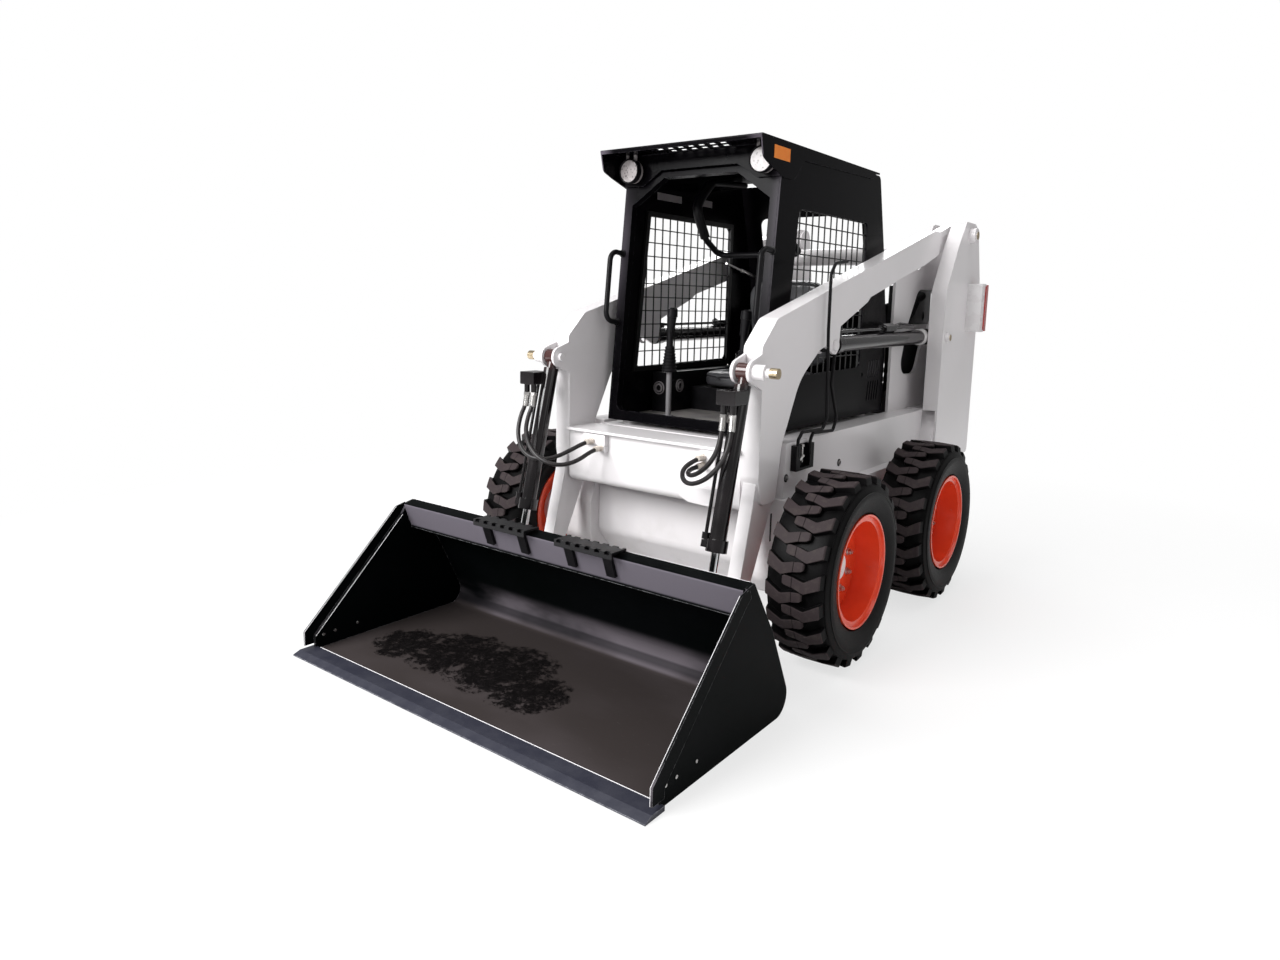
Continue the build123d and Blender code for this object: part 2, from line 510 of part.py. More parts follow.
with BuildPart() as bucket_shell:
    slab(SIDE, BUCKET_OUTLINE, -INNER_HALF, INNER_HALF)
    slab(SIDE, inset(BUCKET_HOLLOW, BUCKET_PLATE), -INNER_HALF - 1, INNER_HALF + 1, Mode.SUBTRACT)
    for low in (-BUCKET_HALF, INNER_HALF):
        slab(SIDE, SIDE_OUTLINE, low, low + SIDE_PLATE)
    slab(SIDE, RIM_STRIP, BUCKET_HALF, BUCKET_HALF + 7)
    slab(SIDE, RIM_STRIP, -BUCKET_HALF - 7, -BUCKET_HALF)
save(bucket_shell, "bucket_shell")

EDGE_OUTLINE = [  # y, z, corner radius
    (LIP_Y, 0, 0), (EDGE_REAR_Y, 0, 0), (EDGE_REAR_Y, EDGE_WALL, 0), (-1362, EDGE_WALL, 0), (LIP_Y, 4, 0),
]
with BuildPart() as cutting_edge:
    slab(SIDE, EDGE_OUTLINE, -EDGE_HALF, EDGE_HALF)
save(cutting_edge, "cutting_edge")

# Foot steps on the top beam
STEPS = [(-364, -83), (73, 347)]
STEP_CHANNEL = [  # y, z, corner radius
    (-905, 531, 0), (-898, 531, 0), (-898, 549, 0), (-829, 549, 0), (-829, 541, 0), (-822, 541, 0), (-822, 556, 0),
    (-905, 556, 0),
]
STEP_TEETH = dict(count=6, width=22, depth=14)
STEP_LEG = [  # y, z, corner radius
    (-822, 549, 0), (-905, 549, 0), (-905, 541, 0), (-881, 528, 0), (-853, 448, 0), (-840.5, 452.4, 0),
    (-868.6, 529.2, 0), (-822, 539, 0),
]
with BuildPart() as bucket_steps:
    for low, high in STEPS:
        slab(SIDE, STEP_CHANNEL, low, high)
        for leg in (low + 24, high - 64):
            slab(SIDE, STEP_LEG, leg, leg + 40)
        for index in range(STEP_TEETH["count"]):
            x = low + (index + 0.5) * (high - low) / STEP_TEETH["count"] - STEP_TEETH["width"] / 2
            block(TOP, (x, -906), (x + STEP_TEETH["width"], -905 + STEP_TEETH["depth"]), 546, 557, Mode.SUBTRACT)
            block(TOP, (x, -822 - STEP_TEETH["depth"]), (x + STEP_TEETH["width"], -821), 546, 557, Mode.SUBTRACT)
save(bucket_steps, "bucket_steps")

# Hitch frame on the bucket's back, with two pairs of ears
COUPLER_WALL = 14
BACK = Vector(BEND_Y - HEEL_Y, BEND_Z).normalized()


def on_back(height, out):
    """Give the point of the bucket's back at a height, moved out from it."""
    return HEEL_Y + BACK.X / BACK.Y * height + BACK.Y * out, height - BACK.X * out


COUPLER_OUTLINE = [
    (*on_back(z, out), 0) for z, out in ((100, SEAT), (100, COUPLER_WALL), (310, COUPLER_WALL), (310, SEAT))
]
with BuildPart() as coupler:
    slab(SIDE, COUPLER_OUTLINE, -CYLINDER_X + 33, CYLINDER_X - 33)
    for centre in (CYLINDER_X, -CYLINDER_X):
        for low in (centre - 33 - COUPLER_EAR, centre + 33):
            lug(SIDE, [(HITCH_Y, HITCH_Z, COUPLER_EAR_R), (ROD_Y, ROD_Z, 40), (*on_back(130, 9), 8), (*on_back(300, 9), 8)],
                low, low + COUPLER_EAR)
            disc(SIDE, (HITCH_Y, HITCH_Z), HITCH_PIN_R, low - 1, low + COUPLER_EAR + 1, Mode.SUBTRACT)
        disc(SIDE, (ROD_Y, ROD_Z), 28, centre + 48, centre + 60)
        disc(SIDE, (ROD_Y, ROD_Z), 28, centre - 60, centre - 48)
save(coupler, "coupler")

# Cab side panels with a mesh window and slanted vents
CAB_SIDE = [  # y, z, corner radius
    (FRONT_FOOT_Y, CAB_FLOOR, 0), (1332, CAB_FLOOR, 0), (1332, 1300, 60), (1230, 1726, 60), (1128, 2080, 30),
    (98, 2080, 0),
]
WINDOW = [(172, 1110, 30), (1003, 1120, 30), (1003, 1838, 30), (261, 1836, 30)]
VENT_ROWS = [(937, 1040), (1060, 1152)]
VENTS = dict(first=1110, pitch=32, count=5, width=14, lean=16)
PANEL_OUT = CAB_HALF - ROOF_WALL
PANEL_IN = PANEL_OUT - PANEL_WALL
with BuildPart() as cab_sides:
    slab(SIDE, CAB_SIDE, PANEL_IN, PANEL_OUT)
    slab(SIDE, WINDOW, PANEL_IN - 1, PANEL_OUT + 1, Mode.SUBTRACT)
    disc(SIDE, (1042, 1078), 11, PANEL_IN - 1, PANEL_OUT + 1, Mode.SUBTRACT)
    for low, high in VENT_ROWS:
        for index in range(VENTS["count"]):
            y = VENTS["first"] + index * VENTS["pitch"]
            slab(SIDE, [(y, low, 5), (y + VENTS["width"], low, 5), (y + VENTS["width"] + VENTS["lean"], high, 5),
                        (y + VENTS["lean"], high, 5)], PANEL_IN - 1, PANEL_OUT + 1, Mode.SUBTRACT)
    mirror(about=Plane.YZ)
save(cab_sides, "cab_sides")

# Wire mesh behind each side window
MESH_FRAME = [(145, 1086, 0), (1027, 1086, 0), (1027, 1860, 0), (237, 1860, 0)]
MESH_FRAME_WALL = 25
FIRST_WIRE_Y, FIRST_WIRE_Z = 235, 1184
MESH_LEAN = (MESH_FRAME[3][0] - MESH_FRAME[0][0]) / (MESH_FRAME[3][1] - MESH_FRAME[0][1])
with BuildPart() as window_mesh:
    slab(SIDE, MESH_FRAME, PANEL_IN - 12, PANEL_IN)
    slab(SIDE, inset(MESH_FRAME, MESH_FRAME_WALL), PANEL_IN - 13, PANEL_IN + 1, Mode.SUBTRACT)
    for index in range(12):
        y = FIRST_WIRE_Y + index * MESH_PITCH_Y - WIRE / 2
        top = min(MESH_FRAME[2][1] - 10, MESH_FRAME[0][1] + (y - MESH_FRAME[0][0] - 8) / MESH_LEAN)
        block(SIDE, (y, MESH_FRAME[0][1] + 10), (y + WIRE, top), PANEL_IN - 11, PANEL_IN - 11 + WIRE)
    for index in range(10):
        z = FIRST_WIRE_Z + index * MESH_PITCH_Z - WIRE / 2
        front = MESH_FRAME[0][0] + (z - MESH_FRAME[0][1]) * MESH_LEAN
        block(SIDE, (front + 12, z), (MESH_FRAME[1][0] - 10, z + WIRE),
              PANEL_IN - 11 + WIRE + 0.2, PANEL_IN - 11 + 2 * WIRE + 0.2)
    mirror(about=Plane.YZ)
save(window_mesh, "window_mesh")

# Roof cap: a lid with cheeks, its front overhang open below before a drop plate over the windscreen
ROOF_OUTLINE = [  # y, z, corner radius
    (-80, 2003, 30), (-17, 1979, 40), (94, 1944, 16), (193, 1946, 40), (273, 2036, 30), (1021, 2054, 10), (1050, 2084, 0),
    (1100, 2084, 0), (1100, 2092, 0), (-102, 2092, 6),
]
ROOF_TOP = 2092
DROP_Y = 74
DROP_OPENING = [  # x, z, corner radius
    (-335, 1900, 0), (335, 1900, 0), (323, 1935, 0), (198, 2014, 8), (-198, 2014, 8), (-323, 1935, 0),
]
SLOT_ROWS = [  # front edge y, first middle x, number
    (-28, -148, 7), (28, -114, 6),
]
SLOTS = dict(pitch=54, width=40, depth=34)
with BuildPart() as cab_roof:
    slab(SIDE, ROOF_OUTLINE, -CAB_HALF, CAB_HALF)
    block(SIDE, (-96, 1900), (DROP_Y, ROOF_TOP - ROOF_WALL), -PANEL_OUT, PANEL_OUT, Mode.SUBTRACT)
    block(SIDE, (DROP_Y + ROOF_WALL, 1900), (1200, ROOF_TOP - ROOF_WALL), -PANEL_OUT, PANEL_OUT, Mode.SUBTRACT)
    block(SIDE, (-200, 1900), (-90, ROOF_TOP - 18), -PANEL_OUT, PANEL_OUT, Mode.SUBTRACT)
    slab(FRONT, DROP_OPENING, -DROP_Y - ROOF_WALL - 1, -DROP_Y + 1, Mode.SUBTRACT)
    for y, first, count in SLOT_ROWS:
        for index in range(count):
            x = first + index * SLOTS["pitch"] - SLOTS["width"] / 2
            block(TOP, (x, y), (x + SLOTS["width"], y + SLOTS["depth"]), ROOF_TOP - 20, ROOF_TOP + 1, Mode.SUBTRACT)
save(cab_roof, "cab_roof")

# Front frame of the cab, leaning back with the windscreen opening
LEAN = Vector(0, FRONT_HEAD_Y - FRONT_FOOT_Y, FRONT_HEAD_Z - CAB_FLOOR)
LEAN_PLANE = Plane(origin=(0, FRONT_FOOT_Y + FRONT_AXLE_Y, CAB_FLOOR), x_dir=(1, 0, 0),
                   z_dir=Vector(0, -LEAN.Z, LEAN.Y).normalized())
FRONT_OPENING = [  # x, height up the frame, corner radius
    (-362, 46, 30), (362, 46, 30), (362, 1000, 0), (190, 1118, 0), (-190, 1118, 0), (-362, 1000, 0),
]
with BuildPart() as cab_front:
    block(LEAN_PLANE, (-PANEL_IN, 0), (PANEL_IN, LEAN.length - 14), -FRAME_DEPTH, 0)
    slab(LEAN_PLANE, FRONT_OPENING, -FRAME_DEPTH - 1, 1, Mode.SUBTRACT)
save(cab_front, "cab_front")

# Rear wall of the cab, in the middle of it a window
REAR_OUTLINE = [  # y, z, corner radius
    (1318, CAB_FLOOR + FLOOR_WALL, 0), (1326, CAB_FLOOR + FLOOR_WALL, 0), (1326, 1300, 60), (1225, 1721, 60),
    (1123, 2070, 0), (1114, 2068, 0), (1217, 1719, 60), (1318, 1298, 60),
]
with BuildPart() as cab_rear:
    slab(SIDE, REAR_OUTLINE, -PANEL_IN, PANEL_IN)
    block(FRONT, (-300, 1400), (300, 1900), -1340, -1100, Mode.SUBTRACT, radius=40)
save(cab_rear, "cab_rear")

# Cab floor with a raised sill
with BuildPart() as cab_floor:
    block(SIDE, (FRONT_FOOT_Y + 46, CAB_FLOOR), (1326, CAB_FLOOR + FLOOR_WALL), -PANEL_IN, PANEL_IN)
save(cab_floor, "cab_floor")

# Work lamps, each hung from the roof by two tabs
with BuildPart() as headlamps:
    for sign in (1, -1):
        disc(FRONT, (sign * LAMP_X, LAMP_Z), LAMP_R, -LAMP_Y - 40, -LAMP_Y)
        for step in (-22, 22):
            block(FRONT, (sign * LAMP_X + step - 7, LAMP_Z + 30), (sign * LAMP_X + step + 7, ROOF_TOP - ROOF_WALL - SEAT),
                  -LAMP_Y - 24, -LAMP_Y - 14)
save(headlamps, "headlamps")

# Grab handles beside the cab's front opening, standing off the leaning frame on two feet
HANDLE = dict(x=396, low=459, high=780, out=90, foot_radius=17, foot_wall=8)
with BuildPart() as grab_handles:
    bar = [LEAN_PLANE.from_local_coords((HANDLE["x"], height, out)) for height, out in (
        (HANDLE["high"], SEAT), (HANDLE["high"], HANDLE["out"]), (HANDLE["low"], HANDLE["out"]), (HANDLE["low"], SEAT))]
    tube([(point.X, point.Y - FRONT_AXLE_Y, point.Z) for point in bar], [45, 45], HANDLE_R)
    for height in (HANDLE["low"], HANDLE["high"]):
        disc(LEAN_PLANE, (HANDLE["x"], height), HANDLE["foot_radius"], SEAT, HANDLE["foot_wall"])
    mirror(about=Plane.YZ)
save(grab_handles, "grab_handles")

# Seat box, seat pads and the consoles beside the driver
SEAT_FRONT_Y, SEAT_REAR_Y, SEAT_HALF = 470, 960, 225
with BuildPart() as seat_base:
    block(SIDE, (520, CAB_FLOOR + FLOOR_WALL), (1312, 1000), -300, 300)
save(seat_base, "seat_base")

with BuildPart() as seat_pads:
    block(SIDE, (SEAT_FRONT_Y, 1000 + SEAT), (SEAT_REAR_Y, 1095), -SEAT_HALF, SEAT_HALF, radius=30)
    slab(SIDE, [(SEAT_REAR_Y - 60, 1095 + SEAT, 20), (SEAT_REAR_Y + 40, 1095 + SEAT, 20), (1110, 1560, 40),
                (1010, 1560, 40)], -SEAT_HALF, SEAT_HALF)
save(seat_pads, "seat_pads")

with BuildPart() as side_consoles:
    block(SIDE, (300, CAB_FLOOR + FLOOR_WALL), (1312, 1080), 302, 384)
    mirror(about=Plane.YZ)
    for y, z in ((360, 1010), (440, 1010)):
        disc(SIDE, (y, z), 30, -302, -290)
save(side_consoles, "side_consoles")

# Lap bar, raised under the roof, with its pivots on the side panels
LAP_HALF = 230
with BuildPart() as lap_bar:
    leg = [(900, 2046), (540, 2016), (414, 1888), (505, 1740), (640, 1668)]
    left = [(LAP_HALF, y, z) for y, z in leg]
    right = [(-LAP_HALF, y, z) for y, z in reversed(leg)]
    tube([(PANEL_IN - SEAT, *leg[0]), *left, *right, (-PANEL_IN + SEAT, *leg[0])], [45, 70, 70, 70, 45, 45, 70, 70, 70, 45], 15)
save(lap_bar, "lap_bar")

# Two control levers with ribbed boots
LEVERS = [(-142, 100), (250, 100)]
LEVER_PROFILE = [  # radius, height above the floor
    (0, 0), (26, 0), (26, 14), (14, 22), (14, 215), (36, 222), (40, 240), (26, 330), (11, 345), (11, 400), (21, 410),
    (24, 500), (16, 520), (0, 520),
]
with BuildPart() as control_levers:
    for x, y in LEVERS:
        foot = Plane(origin=(x, y + FRONT_AXLE_Y, CAB_FLOOR + FLOOR_WALL), x_dir=(1, 0, 0), z_dir=(0, -1, 0))
        with BuildSketch(foot) as section:
            with BuildLine():
                Polyline(LEVER_PROFILE, close=True)
            make_face()
        revolve(section.sketch, axis=Axis((x, y + FRONT_AXLE_Y, 0), (0, 0, 1)))
save(control_levers, "control_levers")

# Arm prop: a long hairpin bar kept beside the left arm, on a bracket
PROP_X, PROP_R = 567, 7
with BuildPart() as arm_prop:
    tube([(PROP_X, 421, 1619), (PROP_X, 307, 1607), (PROP_X, 266, 1560), (PROP_X, 269, 1323), (PROP_X, 300, 934),
          (PROP_X, 262, 895), (PROP_X, 70, 902), (PROP_X, 36, 872), (PROP_X, 36, 800)], [30, 30, 0, 24, 24, 20, 20], PROP_R)
    tube([(PROP_X, 346, 1216), (PROP_X, 327, 1087), (PROP_X, 402, 930), (PROP_X, 369, 878), (PROP_X, 171, 888),
          (PROP_X, 150, 860), (PROP_X, 150, 800)], [30, 40, 16, 16, 14], PROP_R)
    block(SIDE, (20, 741), (56, 848), BOX_HALF + SEAT, PROP_X + 5)
    block(SIDE, (144, 741), (180, 848), BOX_HALF + SEAT, PROP_X + 5)
    block(SIDE, (20, 741), (180, 752), BOX_HALF + SEAT, PROP_X + 5)
save(arm_prop, "arm_prop")

# Bucket hoses: the route's points in order, from the tilt cylinder to the block on the cross member
HOSE_TIP_Y = HOSE_END_Y - SEAT
HOSES = {
    "hose_left_inner": [
        (472.5, -405, 1000), (472, -415, 935), (468, -430, 878), (440, -436, 823), (387, -422, 778), (330, -398, 752),
        (290, -366, 752), (279, -330, 762), (298, -300, 772), (298, HOSE_TIP_Y, 772),
    ],
    "hose_left_outer": [
        (513.5, -405, 1000), (519, -420, 941), (517, -444, 872), (485, -460, 806), (426, -464, 754), (352, -446, 728),
        (292, -408, 740), (268, -362, 772), (296, -306, 804), (296, HOSE_TIP_Y, 804),
    ],
    "hose_right_inner": [
        (-524, -405, 1000), (-525, -411, 955), (-525, -440, 905), (-497, -484, 848), (-446, -512, 792),
        (-384, -520, 748), (-328, -504, 726), (-287, -465, 721), (-261, -405, 734), (-246, -310, 776), (-246, HOSE_TIP_Y, 776),
    ],
    "hose_right_outer": [
        (-565, -405, 1000), (-568, -409, 958), (-586, -427, 900), (-578, -452, 828), (-525, -482, 764),
        (-457, -486, 734), (-402, -462, 731), (-365, -425, 742), (-336, -372, 766), (-298, -308, 802), (-298, HOSE_TIP_Y, 802),
    ],
}
for name, route in HOSES.items():
    radii = []
    for index in range(1, len(route) - 1):
        before = Vector(*route[index]) - Vector(*route[index - 1])
        after = Vector(*route[index + 1]) - Vector(*route[index])
        turn = math.radians(before.get_angle(after))
        radii.append(0.45 * min(before.length, after.length) / math.tan(turn / 2))
    with BuildPart() as hose:
        tube(route, radii, HOSE_R)
    swept = math.pi * HOSE_R**2
    print(name, "least radius", round(min(radii)), "length", round(hose.part.volume / swept))
    save(hose, name)
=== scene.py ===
import json
import math

import bmesh
import bpy
from mathutils import Matrix, Vector


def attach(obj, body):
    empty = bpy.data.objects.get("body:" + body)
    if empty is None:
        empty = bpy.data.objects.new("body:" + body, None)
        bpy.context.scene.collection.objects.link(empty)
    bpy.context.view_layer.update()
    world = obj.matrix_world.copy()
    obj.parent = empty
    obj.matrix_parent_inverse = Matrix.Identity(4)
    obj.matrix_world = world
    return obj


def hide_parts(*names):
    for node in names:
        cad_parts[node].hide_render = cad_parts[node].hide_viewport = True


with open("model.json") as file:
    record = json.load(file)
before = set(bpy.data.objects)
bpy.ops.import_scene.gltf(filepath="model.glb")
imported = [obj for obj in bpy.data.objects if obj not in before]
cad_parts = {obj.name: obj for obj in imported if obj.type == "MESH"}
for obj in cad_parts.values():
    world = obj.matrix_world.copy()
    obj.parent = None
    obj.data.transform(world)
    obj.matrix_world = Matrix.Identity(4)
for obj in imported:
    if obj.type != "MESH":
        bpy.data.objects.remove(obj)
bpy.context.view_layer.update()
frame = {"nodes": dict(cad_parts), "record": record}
NODES = frame["nodes"]
JOINTS = {joint["name"]: joint for joint in frame["record"]["behaviour"]["joints"]}

# Pieces are laid out in millimetres, with Y counted from the front axle.
# Finishes, lights and the camera are in metres of the frame.
MM = 0.001
FRONT_AXLE_Y = round(JOINTS["wheel_front_left_spin"]["pos_m"][1] / MM, 3)


def at(x, y, z):
    """Give the place in metres of a point in millimetres from the front axle."""
    return Vector((x * MM, (y + FRONT_AXLE_Y) * MM, z * MM))


def pivot(joint):
    """Give the place of a joint in millimetres from the front axle."""
    x, y, z = (round(value / MM, 3) for value in JOINTS[joint]["pos_m"])
    return x, y - FRONT_AXLE_Y, z


SIDES = (("left", 1), ("right", -1))
TRACK_HALF, _, TYRE_R = pivot("wheel_front_left_spin")
AXLES = (("front", 0), ("rear", pivot("wheel_rear_left_spin")[1]))
CYLINDER_X, *LIFT_PIN = pivot("lift_barrel_left_pivot")
_, *TILT_PIN = pivot("tilt_barrel_left_pivot")
_, *ARM_PIN = pivot("arm_lift")
HINGE_X, HINGE_Y, _ = pivot("rear_door_hinge")


# ------------------------------------------------------------------ Materials
class Surface:
    """A node material built up in layers over one shader."""

    def __init__(self, name, colour, rough, metal=0.0, specular=0.5, coat=0.0, coat_rough=0.1):
        self.material = bpy.data.materials.new(name)
        self.material.use_nodes = True
        self.nodes = self.material.node_tree.nodes
        self.links = self.material.node_tree.links
        self.shader = self.nodes["Principled BSDF"]
        self.coords = self.nodes.new("ShaderNodeTexCoord").outputs["Object"]
        for socket, value in (("Metallic", metal), ("Specular IOR Level", specular), ("Coat Weight", coat),
                              ("Coat Roughness", coat_rough), ("Roughness", rough)):
            self.shader.inputs[socket].default_value = value
        base = self.nodes.new("ShaderNodeRGB")
        base.outputs[0].default_value = (*colour, 1)
        self.colour = base.outputs[0]
        self.rough = rough
        self.rough_out = None
        self.normal = None

    # Masks: each gives a value between 0 and 1
    def ramp(self, source, low, high):
        """Give 0 to 1, smoothly, as a value goes from low to high."""
        node = self.nodes.new("ShaderNodeMapRange")
        node.interpolation_type = "SMOOTHSTEP"
        node.inputs["From Min"].default_value = low
        node.inputs["From Max"].default_value = high
        self.links.new(source, node.inputs["Value"])
        return node.outputs["Result"]

    def noise(self, scale, detail=4.0, rough=0.55, stretch=None, low=0.35, high=0.65):
        """Give a noise, clipped between two levels."""
        source = self.coords
        if stretch:
            mapping = self.nodes.new("ShaderNodeMapping")
            mapping.inputs["Scale"].default_value = stretch
            self.links.new(source, mapping.inputs["Vector"])
            source = mapping.outputs[0]
        node = self.nodes.new("ShaderNodeTexNoise")
        node.inputs["Scale"].default_value = scale
        node.inputs["Detail"].default_value = detail
        node.inputs["Roughness"].default_value = rough
        self.links.new(source, node.inputs["Vector"])
        return self.ramp(node.outputs["Fac"], low, high)

    def specks(self, scale, low, high):
        """Give 1 in small round specks."""
        node = self.nodes.new("ShaderNodeTexVoronoi")
        node.inputs["Scale"].default_value = scale
        self.links.new(self.coords, node.inputs["Vector"])
        return self.ramp(node.outputs["Distance"], high, low)

    def along(self, axis, low, high):
        """Give 0 to 1 between two places along an axis."""
        split = self.nodes.new("ShaderNodeSeparateXYZ")
        self.links.new(self.coords, split.inputs[0])
        return self.ramp(split.outputs[axis], low, high)

    def facing(self, axis, low, high):
        """Give 0 to 1 as the surface turns towards an axis of its own piece."""
        split = self.nodes.new("ShaderNodeSeparateXYZ")
        self.links.new(self.nodes.new("ShaderNodeTexCoord").outputs["Normal"], split.inputs[0])
        return self.ramp(split.outputs[axis], low, high)

    def far_from(self, place, low, high):
        """Give 0 to 1 between two distances from a place."""
        node = self.nodes.new("ShaderNodeVectorMath")
        node.operation = "DISTANCE"
        self.links.new(self.coords, node.inputs[0])
        node.inputs[1].default_value = place
        return self.ramp(node.outputs["Value"], low, high)

    def edges(self, radius):
        """Give 1 near sharp edges."""
        bevel = self.nodes.new("ShaderNodeBevel")
        bevel.samples = 4
        bevel.inputs["Radius"].default_value = radius
        dot = self.nodes.new("ShaderNodeVectorMath")
        dot.operation = "DOT_PRODUCT"
        self.links.new(bevel.outputs[0], dot.inputs[0])
        self.links.new(self.nodes.new("ShaderNodeNewGeometry").outputs["Normal"], dot.inputs[1])
        return self.ramp(dot.outputs["Value"], 0.98, 0.75)

    def attribute(self, name, low, high):
        """Give 0 to 1 as a value that is stored on the mesh goes from low to high."""
        node = self.nodes.new("ShaderNodeAttribute")
        node.attribute_name = name
        return self.ramp(node.outputs["Fac"], low, high)

    def sum_up(self, operation, *values):
        """Join masks and numbers with one operation."""
        total = values[0]
        for value in values[1:]:
            node = self.nodes.new("ShaderNodeMath")
            node.operation = operation
            for slot, given in zip(node.inputs, (total, value)):
                if isinstance(given, (int, float)):
                    slot.default_value = given
                else:
                    self.links.new(given, slot)
            total = node.outputs[0]
        return total

    def times(self, *values):
        return self.sum_up("MULTIPLY", *values)

    def most(self, *values):
        return self.sum_up("MAXIMUM", *values)

    # Steps that change the finish
    def layer(self, colour, mask, amount, rough):
        """Lay a colour with its roughness over what is there, where a mask is 1."""
        share = self.times(mask, amount)
        mix = self.nodes.new("ShaderNodeMix")
        mix.data_type = "RGBA"
        self.links.new(share, mix.inputs["Factor"])
        self.links.new(self.colour, mix.inputs["A"])
        mix.inputs["B"].default_value = (*colour, 1)
        self.colour = mix.outputs["Result"]
        level = self.nodes.new("ShaderNodeMix")
        self.links.new(share, level.inputs["Factor"])
        if self.rough_out:
            self.links.new(self.rough_out, level.inputs["A"])
        else:
            level.inputs["A"].default_value = self.rough
        level.inputs["B"].default_value = rough
        self.rough_out = level.outputs["Result"]
        return self

    def worn_edges(self, colour, radius, patches, amount, rough):
        """Lay a colour along the sharp edges, broken up by patches of noise."""
        return self.layer(colour, self.times(self.edges(radius), patches), amount, rough)

    def rounded(self, radius):
        """Light the sharp edges as if they were rounded."""
        bevel = self.nodes.new("ShaderNodeBevel")
        bevel.samples = 6
        bevel.inputs["Radius"].default_value = radius
        self.normal = bevel.outputs[0]
        return self

    def bump(self, source, strength, distance):
        """Raise the surface where a mask is 1."""
        node = self.nodes.new("ShaderNodeBump")
        node.inputs["Strength"].default_value = strength
        node.inputs["Distance"].default_value = distance
        self.links.new(source, node.inputs["Height"])
        if self.normal:
            self.links.new(self.normal, node.inputs["Normal"])
        self.normal = node.outputs[0]
        return self

    def done(self):
        """Link what was built up to the shader and give the material."""
        self.links.new(self.colour, self.shader.inputs["Base Color"])
        self.links.new(self.rough_out, self.shader.inputs["Roughness"])
        if self.normal:
            self.links.new(self.normal, self.shader.inputs["Normal"])
        return self.material


def white_paint():
    s = Surface("white_paint", (0.80, 0.772, 0.785), 0.30, coat=0.3).rounded(0.003)
    s.layer((0.74, 0.72, 0.72), s.noise(2.2), 0.35, 0.4)
    dust = s.times(s.along("Z", 0.62, 0.15), s.noise(9, 6, 0.6, low=0.45, high=0.8))
    s.layer((0.45, 0.42, 0.39), dust, 0.3, 0.6)
    s.worn_edges((0.45, 0.43, 0.40), 0.004, s.noise(38, 5, 0.6, low=0.5, high=0.72), 0.5, 0.6)
    return s.bump(s.noise(420, 2), 0.05, 0.0004).done()


def cab_black():
    """Glossy black, with a painted reflection down the two front posts."""
    s = Surface("cab_black", (0.0014, 0.0012, 0.0018), 0.2, specular=0.05).rounded(0.002)
    s.layer((0.003, 0.0026, 0.0036), s.noise(3), 0.6, 0.3)
    reflection_streaks = s.noise(3, 3, 0.5, stretch=(1, 1, 0.2))
    # Painted reflection: a paler purple-grey, streaked, on the front faces of the two front posts.
    post_reflection = s.times(s.facing("Y", -0.7, -0.98), s.along("Z", 1.25, 1.95), reflection_streaks)
    for _, sign in SIDES:
        s.layer((0.15, 0.13, 0.16), s.times(post_reflection, s.along("X", sign * 0.33, sign * 0.41)), 0.6, 0.2)
    s.worn_edges((0.12, 0.11, 0.13), 0.003, s.noise(45, 5, 0.6, low=0.4, high=0.62), 0.45, 0.4)
    return s.bump(s.noise(380, 2), 0.06, 0.0004).done()


CRUST = (  # middle of each heap of dried soil on the bucket's floor, reach
    ((-0.62, -1.43, 0.014), 0.2565), ((-0.40, -1.37, 0.014), 0.3375), ((-0.14, -1.36, 0.014), 0.378),
    ((0.08, -1.44, 0.014), 0.27),
)


def bucket_black():
    """Black paint, scoured on the floor, with soil dried on the floor, a painted highlight on the front of the top
    beam and low on the back bend, and a painted shade line in that bend.
    """
    s = Surface("bucket_black", (0.0012, 0.0019, 0.0019), 0.38, specular=0.02).rounded(0.003)
    s.layer((0.0026, 0.0030, 0.0036), s.noise(3.5), 0.7, 0.38)
    # Painted highlight: a paler purple-grey on the front faces of the top beam.
    beam = s.times(s.along("Z", 0.425, 0.435), s.facing("Y", -0.75, -0.93))
    s.layer((0.13, 0.118, 0.14), beam, 0.9, 0.32)

    floor = s.times(s.along("Z", 0.06, 0.02), s.facing("Z", 0.6, 0.95))
    haze = s.noise(2.2, 4, 0.5, stretch=(0.5, 1, 1), low=0.4, high=0.75)
    scratches = s.noise(40, 8, 0.75, stretch=(1, 3, 1), low=0.62, high=0.72)
    s.layer((0.040, 0.033, 0.032), floor, 0.9, 0.42)
    s.layer((0.066, 0.056, 0.058), s.times(floor, haze), 0.6, 0.36)
    s.layer((0.13, 0.12, 0.12), s.times(floor, scratches), 0.35, 0.4)

    near = s.most(*(s.far_from(place, reach, 0) for place, reach in CRUST))
    crumbs = s.times(near, s.noise(19, 12, 0.85, low=0.33, high=0.60))
    crust = s.times(floor, s.ramp(crumbs, 0.30, 0.42))
    s.layer((0.011, 0.0095, 0.0100), crust, 0.88, 0.85)
    s.layer((0.060, 0.052, 0.052), s.times(crust, s.noise(60, 8, 0.85, low=0.5, high=0.64)), 0.7, 0.7)
    s.bump(s.times(crust, s.noise(55, 8, 0.85)), 1.0, 0.02)

    # Painted highlight low on the back bend, with a painted shade line across its lower part.
    back = s.facing("Y", -0.2, -0.5)
    bend_highlight = s.times(s.along("Z", 0.15, 0.09), back, s.noise(4, 4, 0.5, stretch=(0.4, 1, 1)))
    bend_shade_line = s.times(s.along("Z", 0.055, 0.045), s.along("Z", 0.012, 0.03), back)
    s.layer((0.15, 0.132, 0.15), bend_highlight, 0.75, 0.36)
    s.layer((0.012, 0.011, 0.013), bend_shade_line, 0.7, 0.4)
    s.worn_edges((0.30, 0.30, 0.31), 0.0035, s.noise(50, 6, 0.65, low=0.35, high=0.6), 0.65, 0.4)
    return s.bump(s.noise(160, 4), 0.08, 0.0006).done()


